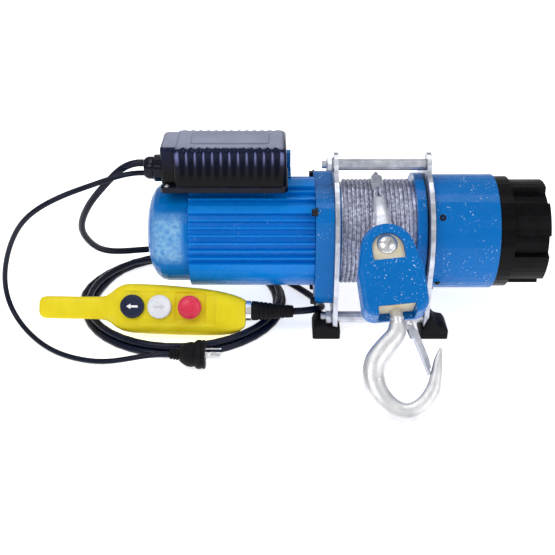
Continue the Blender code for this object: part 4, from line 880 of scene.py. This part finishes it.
def box_base(lip_top):
    """The base's lip, and an ear with a screw either side of the gland."""
    low, high = BOX_BASE
    walls = Vector((BOX_COVER[0].x - 0.002, low.y, low.z))
    levels = ((0.0012, low.z), (0.0, low.z + 0.0012), (0.0, lip_top - 0.0015), (0.0015, lip_top))
    soft_slab("box_base_lip", walls, high, 0.007, levels, "gloss_black")
    levels = ((0.0010, low.z), (0.0, low.z + 0.0010), (0.0, low.z + 0.0070), (0.0012, low.z + 0.0080))
    ear_width = 0.0155
    for name, front in (("front", low.y), ("rear", high.y - ear_width)):
        near = Vector((low.x, front, low.z))
        far = Vector((walls.x + 0.006, front + ear_width, high.z))
        soft_slab(f"box_ear_{name}", near, far, 0.0055, levels, "gloss_black")
    for i, (x, y) in enumerate(
        (x, y) for x in (low.x + 0.0075, high.x - 0.007) for y in (low.y + 0.0070, high.y - 0.0070)
    ):
        height = low.z + 0.0080 if i < 2 else lip_top
        pan_screw(f"box_screw_{i}", toward((x, y, height - 0.0008), (0, 0, 1)), 0.0040)


def cable_gland():
    """Moulded gland: a round flange, an octagonal body and a domed nut."""
    length = GLAND[1].x - GLAND[0].x
    radius = (GLAND[1].y - GLAND[0].y) / 2
    waist = radius - 0.0024
    profile = [(0.0, 0.0), (radius - 0.0015, 0.0), (radius, 0.0015), (radius, 0.0060), (waist, 0.0075)]
    profile += [(waist, 0.0095), (radius - 0.0004, 0.0110), (radius - 0.0004, length - 0.0020)]
    profile += [(radius - 0.0020, length), (0.0, length)]
    body_axis = toward((GLAND[1].x, GLAND_CENTRE.y, GLAND_CENTRE.z), (-1, 0, 0))
    gland = prism("gland_body", 8, profile, "gloss_black", "frame", body_axis, 0.5)
    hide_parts("cable_gland")
    length = GLAND_NUT[1].x - GLAND_NUT[0].x
    radius = (GLAND_NUT[1].y - GLAND_NUT[0].y) / 2
    profile = [(0.0, -0.0003), (radius - 0.0010, -0.0003), (radius, 0.0008), (radius, 0.0060)]
    profile += [(radius - 0.0012, 0.0088), (radius - 0.0036, length), (0.0, length)]
    nut_axis = toward((GLAND_NUT[1].x, GLAND_CENTRE.y, GLAND_CENTRE.z), (-1, 0, 0))
    nut = prism("gland_dome_nut", 6, profile, "gloss_black", "frame", nut_axis, 0.6)
    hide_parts("gland_nut")


def control_box():
    lip_top = BOX_BASE[0].z + 0.009
    box_cover(lip_top)
    box_base(lip_top)
    cable_gland()


# ---------------------------------------------------------------- fasteners
def pan_screw(name, place, radius):
    """A domed screw head with a round recess."""
    profile = [(0.0, -0.0010), (radius, -0.0010), (radius, 0.0006), (radius * 0.86, 0.0014)]
    profile += [(radius * 0.55, 0.0020), (radius * 0.34, 0.0021), (radius * 0.26, 0.0012), (0.0, 0.0012)]
    turned(name, profile, "steel", "frame", place, 24)


def socket_screw(name, place, radius, height):
    """A black socket head with a round recess, on a thin washer."""
    washer, socket_foot = radius * 1.35, height - 0.0030
    profile = [(0.0, -0.0020), (washer, -0.0020), (washer, 0.0008), (radius, 0.0008)]
    profile += [(radius, height - 0.0006), (radius - 0.0006, height), (radius * 0.52, height)]
    profile += [(radius * 0.50, socket_foot), (0.0, socket_foot)]
    turned(name, profile, "oxide", "frame", place, 30)


def rod_nuts():
    """A nut and washer on the left end of each tie rod, and a rivet head at the right."""
    left = LEFT_PLATE[1].x - PLATE_THICKNESS
    right = RIGHT_PLATE[0].x + PLATE_THICKNESS
    for name, (across, up) in zip(("top", "front", "rear"), ROD_PLACES):
        spot = Vector((0.0, AXIS.y + across, AXIS.z + up))
        place = toward(spot + Vector((left - 0.0002, 0, 0)), (-1, 0, 0))
        bored_ring(f"{name}_rod_washer", 40, 0.0100, 0.0053, 0.0013, "zinc", "frame", place)
        place = toward(spot + Vector((left - 0.0016, 0, 0)), (-1, 0, 0))
        bored_ring(f"{name}_rod_nut", 6, 0.0096, 0.0053, 0.0078, "zinc", "frame", place)
        place = toward(spot + Vector((right - 0.0004, 0, 0)), (1, 0, 0))
        profile = [(0.0, 0.0), (0.0046, 0.0), (0.0046, 0.0008), (0.0030, 0.0018), (0.0, 0.0020)]
        turned(f"{name}_rod_rivet", profile, "zinc", "frame", place, 24)


def casting_screws():
    """Socket screws through the motor flange's corners, the gearbox's front and its foot."""
    reach = (FLANGE[1].y - FLANGE[0].y) / 2 - 0.0105
    for i, (across, up) in enumerate(((-1, 1), (1, 1), (-1, -1), (1, -1))):
        spot = Vector((FLANGE[0].x, AXIS.y + across * reach, (FLANGE[0].z + FLANGE[1].z) / 2 + up * reach))
        socket_screw(f"flange_screw_{i}", toward(spot, (-1, 0, 0)), 0.0046, 0.0055)
    radius = (GEARBOX[1].y - GEARBOX[0].y) / 2
    for i, degrees in enumerate((38, -38)):
        turn = math.radians(degrees)
        outward = Vector((0.0, -math.cos(turn), math.sin(turn)))
        spot = Vector((GEARBOX[0].x + 0.011, AXIS.y, AXIS.z)) + outward * (radius - 0.0008)
        socket_screw(f"gearbox_screw_{i}", toward(spot, outward), 0.0032, 0.0022)


# ---------------------------------------------------------------- feet
def rubber_boot(name):
    """A moulded boot over a foot tab: a low toe outward and an ankle against the plate."""
    low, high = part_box(name)
    outward = -1 if low.x < AXIS.x - 0.03 else 1
    inner, outer = (high.x, low.x) if outward < 0 else (low.x, high.x)
    ankle, instep, toe = (0.0180, 0.0205, 0.0215) if outward < 0 else (0.0300, 0.0215, 0.0195)
    side_view = [
        (0.0, 0.0), (0.0, 0.0125), (0.0020, 0.0155), (0.0042, 0.0160), (0.0104, ankle - 0.0005),
        (0.0128, ankle), (0.0162, ankle - 0.0008), (0.0235, instep), (0.0290, toe), (0.0365, toe - 0.0010),
        (0.0405, toe - 0.0048), (0.0430, 0.0110), (0.0425, 0.0),
    ]
    length = abs(outer - inner)
    rings = []
    width = high.y - low.y
    soft_edges = (
        (0.0, 0.0022), (0.02, 0.0008), (0.06, 0.0), (0.5, 0.0),
        (0.94, 0.0), (0.98, 0.0008), (1.0, 0.0022),
    )
    for share, shrink in soft_edges:
        ring = []
        for x, z in side_view:
            reach = shrink + (length - 2 * shrink) * x / 0.0430
            height = max(0.0, z - shrink if z else 0.0)
            ring.append((inner + outward * reach, low.y + width * share, height))
        rings.append(ring if outward > 0 else ring[::-1])
    boot = piece(f"{name}_boot", *lofted(rings), "rubber", "frame", sharp=40)
    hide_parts(name)


# ---------------------------------------------------------------- hook
def hook_route():
    """Centre line of the hook's bowl below its shank, as (x, z, half width)."""
    return [
        (0.0000, -0.090, 0.0076), (-0.0006, -0.100, 0.0103), (-0.0050, -0.112, 0.0116),
        (-0.0200, -0.127, 0.0130), (-0.0330, -0.142, 0.0133), (-0.0380, -0.160, 0.0133),
        (-0.0350, -0.180, 0.0127), (-0.0230, -0.198, 0.0118), (-0.0060, -0.207, 0.0113),
        (0.0130, -0.201, 0.0103), (0.0280, -0.185, 0.0090), (0.0360, -0.165, 0.0070),
        (0.0410, -0.148, 0.0050), (0.0465, -0.134, 0.0016),
    ]


def hook_bowl():
    """The hook's bowl, with flattened sides."""
    points = smooth_route(hook_route(), 0.0030)
    rings = []
    for i, point in enumerate(points):
        ahead = points[min(i + 1, len(points) - 1)] - points[max(i - 1, 0)]
        heading = Vector((ahead.x, 0.0, ahead.y)).normalized()
        side = Vector((-heading.z, 0.0, heading.x))
        half = max(point.z, 0.0006)
        ring = []
        for j in range(32):
            angle = math.tau * j / 32
            across, thick = math.cos(angle), math.sin(angle)
            squared = math.copysign(abs(thick) ** 0.95, thick)
            depth = Vector((0, squared * half * HOOK_FLATNESS, 0))
            ring.append(Vector((point.x, 0.0, point.y)) + side * across * half + depth)
        rings.append(ring)
    bowl = piece("hook_bowl_forged", *lofted(rings), "forged", "swivel_hook", BLOCK_FRAME, 60)
    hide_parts("hook")


def hook_shank():
    """The hook's round shank, and the lug and rivet heads that carry its latch."""
    profile = [(0.0, -0.104), (0.0080, -0.104), (0.0080, -0.094), (0.0086, -0.0925), (0.0086, -0.0905)]
    profile += [(0.0079, -0.0890), (0.0079, -0.050), (0.0070, -0.048), (0.0, -0.048)]
    turned("hook_shank", profile, "forged", "swivel_hook", BLOCK_FRAME, 40)
    outline = [(0.0, -0.1060), (0.0130, -0.1062)]
    outline += arc(LATCH_PIVOT[0], LATCH_PIVOT[2], 0.005, range(-80, 91, 17))
    outline += [(0.0130, -0.0962), (0.0, -0.0962)]
    rings = across_y(outline, 0.0038, -0.0038)
    piece("hook_lug", *lofted(rings), "forged", "swivel_hook", BLOCK_FRAME, 40)
    pivot = BLOCK_FRAME @ Vector(LATCH_PIVOT)
    across = BLOCK_FRAME.to_3x3() @ Vector((0.0, 1.0, 0.0))
    profile = [(0.0, -0.0002), (0.0032, -0.0002), (0.0030, 0.0009), (0.0018, 0.0015), (0.0, 0.0016)]
    for side in (-1, 1):
        place = toward(pivot + across * side * 0.0066, across * side)
        turned(f"latch_rivet_{side + 1}", profile, "steel", "swivel_hook", place, 24)


def latch_channel():
    """The latch's folded sides, which make a channel of its strip."""
    place = BLOCK_FRAME @ Matrix.Translation(Vector(LATCH_PIVOT))
    place = place @ Matrix.Rotation(math.radians(-LATCH_REST), 4, "Y")
    outline = [(-0.0009, -0.0605), (0.0030, -0.0600), (0.0052, -0.0480), (0.0056, -0.0120)]
    outline += [(0.0040, -0.0085), (-0.0009, -0.0085)]
    for side in (-1, 1):
        low, high = sorted((side * 0.0065, side * 0.0073))
        rings = across_y(outline, high, low)
        piece(f"latch_side_{side + 1}", *lofted(rings), "zinc", "latch", place, 40)


def block_linings():
    """Primer left showing in the hook block's window and in the recess round the shank."""
    depth = -0.020 + 0.0055 - 0.00022
    outline = arc(0.0, -0.006, 0.0197, range(0, 181, 10)) + [(-0.0197, -0.0207), (0.0197, -0.0207)]
    rings = across_y(outline, depth + 0.00018, depth)
    piece("window_lining", *lofted(rings), "cream", "block", BLOCK_FRAME)
    corners = ((-0.0225, -0.0195), (0.0225, -0.0195), (0.0225, 0.010), (-0.0225, 0.010))
    rings = [[(x, y, height) for x, y in corners] for height in (-0.0806, -0.0802)]
    piece("recess_lining", *lofted(rings), "cream", "block", BLOCK_FRAME)


def pin_dome():
    """The domed head of the hook block's pin."""
    profile = [(0.0, 0.0), (0.0128, 0.0), (0.0126, 0.0012), (0.0108, 0.0030), (0.0075, 0.0044)]
    profile += [(0.0040, 0.0050), (0.0, 0.0052)]
    place = BLOCK_FRAME @ Matrix.Translation(Vector((0.0, -0.0142, 0.0))) @ FACE_OUT
    turned("pin_dome", profile, "chrome", "block", place, 48)


# ---------------------------------------------------------------- handset
def handset_sections():
    """Place along the handset, upper and lower edges, half depth and depth offset of each section."""
    return [
        (-0.1900, 0.0040, -0.0040, 0.0020, 0.0072), (-0.1893, 0.0085, -0.0085, 0.0045, 0.0072),
        (-0.1870, 0.0122, -0.0122, 0.0062, 0.0072), (-0.1820, 0.0146, -0.0146, 0.0069, 0.0072),
        (-0.1650, 0.0150, -0.0150, 0.0069, 0.0072), (-0.1200, 0.0150, -0.0150, 0.0069, 0.0072),
        (-0.1020, 0.0162, -0.0158, 0.0075, 0.0070), (-0.0930, 0.0215, -0.0195, 0.0110, 0.0050),
        (-0.0850, 0.0275, -0.0250, 0.0156, 0.0022), (-0.0740, 0.0322, -0.0298, 0.0188, 0.0006),
        (-0.0600, 0.0332, -0.0322, 0.0200, 0.0), (-0.0200, 0.0318, -0.0336, 0.0200, 0.0),
        (0.0300, 0.0282, -0.0340, 0.0200, 0.0), (0.0520, 0.0250, -0.0334, 0.0196, 0.0),
        (0.0680, 0.0214, -0.0315, 0.0182, 0.0), (0.0790, 0.0178, -0.0278, 0.0158, 0.0),
        (0.0850, 0.0148, -0.0226, 0.0134, 0.0), (0.0865, 0.0132, -0.0190, 0.0122, 0.0),
    ]


def step(value, start, end):
    """Smooth 0 to 1 from start to end."""
    share = min(1.0, max(0.0, (value - start) / (end - start)))
    return share * share * (3 - 2 * share)


def inside_panel(x, z, left, right, low, high, soft):
    """1 inside a rectangle on the face and 0 outside, with soft edges."""
    across = step(x, left, left + soft) * (1 - step(x, right - soft, right))
    return across * step(z, low, low + soft) * (1 - step(z, high - soft, high))


def handset_places():
    """Close sections along the handset, on a smooth curve through its own sections."""
    stops = [Vector(section) for section in handset_sections()]
    places = []
    for i, (here, there) in enumerate(zip(stops, stops[1:])):
        parts = max(1, round((there[0] - here[0]) / 0.0016))
        before = stops[max(i - 1, 0)]
        after = stops[min(i + 2, len(stops) - 1)]
        for k in range(parts):
            share = k / parts
            section = curve_point(before, here, there, after, share)
            if i == 0 or i == len(stops) - 2:
                section = here.lerp(there, share)
            section[0] = here[0] + (there[0] - here[0]) * share
            places.append(section)
    return places + [stops[-1]]


def handset_case():
    """The moulded case and its grip, with a parting groove and a shallow panel under the buttons."""
    sides = 120
    power = 2 / 4.2
    rings = []
    for x, upper, lower, half_depth, offset in handset_places():
        middle, half_height = (upper + lower) / 2, (upper - lower) / 2
        ring = []
        for j in range(sides):
            angle = math.tau * (j + 0.5) / sides
            y = math.copysign(abs(math.cos(angle)) ** power, math.cos(angle)) * half_depth
            z = math.copysign(abs(math.sin(angle)) ** power, math.sin(angle)) * half_height
            if abs(y) < 0.0009:
                z *= 1 - 0.0005 / half_height
            z += middle
            if y < 0:
                y += 0.0014 * inside_panel(x, z, -0.0830, 0.0480, -0.0215, 0.0240, 0.0020)
                y += 0.0016 * inside_panel(x, z, -0.0068, 0.0348, -0.0185, 0.0232, 0.0017)
            ring.append((x, y + offset, z))
        rings.append(ring[::-1])
    case = piece("handset_case", *lofted(rings[::-1]), "yellow", "frame", PENDANT_FRAME, 60)
    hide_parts("pendant_front_shell", "pendant_back_shell")


def arrow(name, x, direction, height, look, body):
    """A thin raised arrow on a button's face, pointing along the handset."""
    length, head, width, stem = 0.0075, 0.0055, 0.0036, 0.0014
    outline = [(-length, 0.0), (head - length, width), (head - length, stem), (length, stem)]
    outline += [(px, -pz) for px, pz in outline[:0:-1]]
    back, front = (
        [(x + direction * px, -depth, BUTTON_UP + pz) for px, pz in outline]
        for depth in (height - 0.0004, height + 0.00012)
    )
    order = (back, front) if direction > 0 else (back[::-1], front[::-1])
    piece(name, *lofted(order), look, body, PENDANT_FRAME, 30)


def button_place(x):
    """A button's frame, with local +Z out of the handset's face."""
    return PENDANT_FRAME @ Matrix.Translation(Vector((x, 0.0, BUTTON_UP))) @ FACE_OUT


def push_buttons():
    """The up and down buttons, each with its arrow on its own body."""
    radius = 0.0156
    for name, x, look in (("up_button", UP_X, "navy"), ("down_button", DOWN_X, "white")):
        profile = [(0.0, 0.0140), (radius + 0.0015, 0.0140), (radius + 0.0015, 0.0160), (radius, 0.0160)]
        profile += [(radius, BUTTON_TOP - 0.0018), (radius - 0.0005, BUTTON_TOP - 0.0006)]
        profile += [(radius - 0.0014, BUTTON_TOP), (radius - 0.0026, BUTTON_TOP - 0.0001)]
        profile += [(radius - 0.0034, BUTTON_TOP - 0.0008), (0.0, BUTTON_TOP - 0.0009)]
        cap = turned(f"{name}_cap", profile, look, name, button_place(x), 64)
        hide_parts(name)
    height = BUTTON_TOP - 0.0008
    arrow("up_arrow", UP_X, 1, height, "mark", "up_button")
    arrow("down_arrow", DOWN_X, -1, height, "faint", "down_button")


def stop_button():
    """The red mushroom button, on its own body."""
    radius, rim = 0.0155, BUTTON_TOP + 0.0022
    profile = [(0.0, 0.0140), (0.0120, 0.0140), (0.0120, 0.0160), (0.0105, 0.0160), (0.0105, BUTTON_TOP)]
    profile += [(0.0146, BUTTON_TOP), (radius, BUTTON_TOP + 0.0008), (radius, rim)]
    for i in range(1, 9):
        angle = math.radians(90 * i / 8)
        profile.append((radius * math.cos(angle) ** 0.8, rim + 0.0063 * math.sin(angle)))
    cap = turned("stop_button_cap", profile, "red", "stop_button", button_place(STOP_X), 64)
    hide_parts("stop_button")


def strain_relief():
    """Tapered, slotted rubber sleeve over the cable, behind a bright collar."""
    length = RELIEF_END - RELIEF_ROOT
    profile = [(0.0, 0.0), (0.0110, 0.0), (0.0110, 0.0074), (0.0130, 0.0078), (0.0128, 0.0130)]
    ribs = 7
    for i in range(ribs):
        at = 0.0165 + i * 0.0058
        radius = 0.0126 - 0.0042 * i / ribs
        groove = radius - 0.0009
        profile += [(radius, at), (groove, at + 0.0006), (groove, at + 0.0018)]
        profile.append((radius - 0.0002, at + 0.0024))
    profile += [(0.0080, length - 0.0010), (0.0070, length), (0.0, length)]
    place = PENDANT_FRAME @ Matrix.Translation(Vector((RELIEF_ROOT, 0.0, 0.0))) @ ALONG_X
    relief = turned("relief_sleeve", profile, "rubber", "frame", place, 40)
    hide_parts("pendant_strain_relief")
    return relief


# ---------------------------------------------------------------- finishes of the kept parts
def finish_kept_nodes():
    """Give every part that is kept from the model its own finish."""
    finishes = {
        "zinc": (
            "left_side_plate", "right_side_plate", "top_tie_rod", "front_tie_rod", "rear_tie_rod",
            "rope_ferrule", "thimble", "hook_latch",
        ),
        "blue": ("motor_flange", "motor_pedestal", "rope_drum", "gearbox_housing"),
        "blue_smooth": ("motor_housing",),
        "blue_pale_patch": ("motor_end_cover",),
        "blue_glinted": ("hook_block",),
        "black": ("gearbox_cover", "end_cap"),
        "steel": (
            "motor_shaft", "drive_end_bearing", "rear_bearing", "left_drum_bush", "right_drum_bush",
            "drum_gear", "first_layshaft", "second_layshaft", "block_pin", "hook_nut", "thrust_bearing",
            "latch_pin",
        ),
        "chrome": ("strain_relief_collar",),
        "copper": ("motor_stator", "brake_coil"),
        "iron": ("rotor_core", "brake_disc"),
        "white": ("run_capacitor",),
        "grey": ("contactor", "contact_block"),
    }
    for look, names in finishes.items():
        for name in names:
            NODES[name].data.materials.clear()
            NODES[name].data.materials.append(LOOKS[look])


make_camera()
control, power = make_cords()
plug = make_plug()
relief = strain_relief()
make_stage()
wound_rope()
rope_lead()
rope_eye()
thimble_neck()
control_box()
rod_nuts()
casting_screws()
for foot in ("left_front_foot", "left_rear_foot", "right_front_foot", "right_rear_foot"):
    rubber_boot(foot)
hook_bowl()
hook_shank()
latch_channel()
block_linings()
pin_dome()
handset_case()
push_buttons()
stop_button()
finish_kept_nodes()
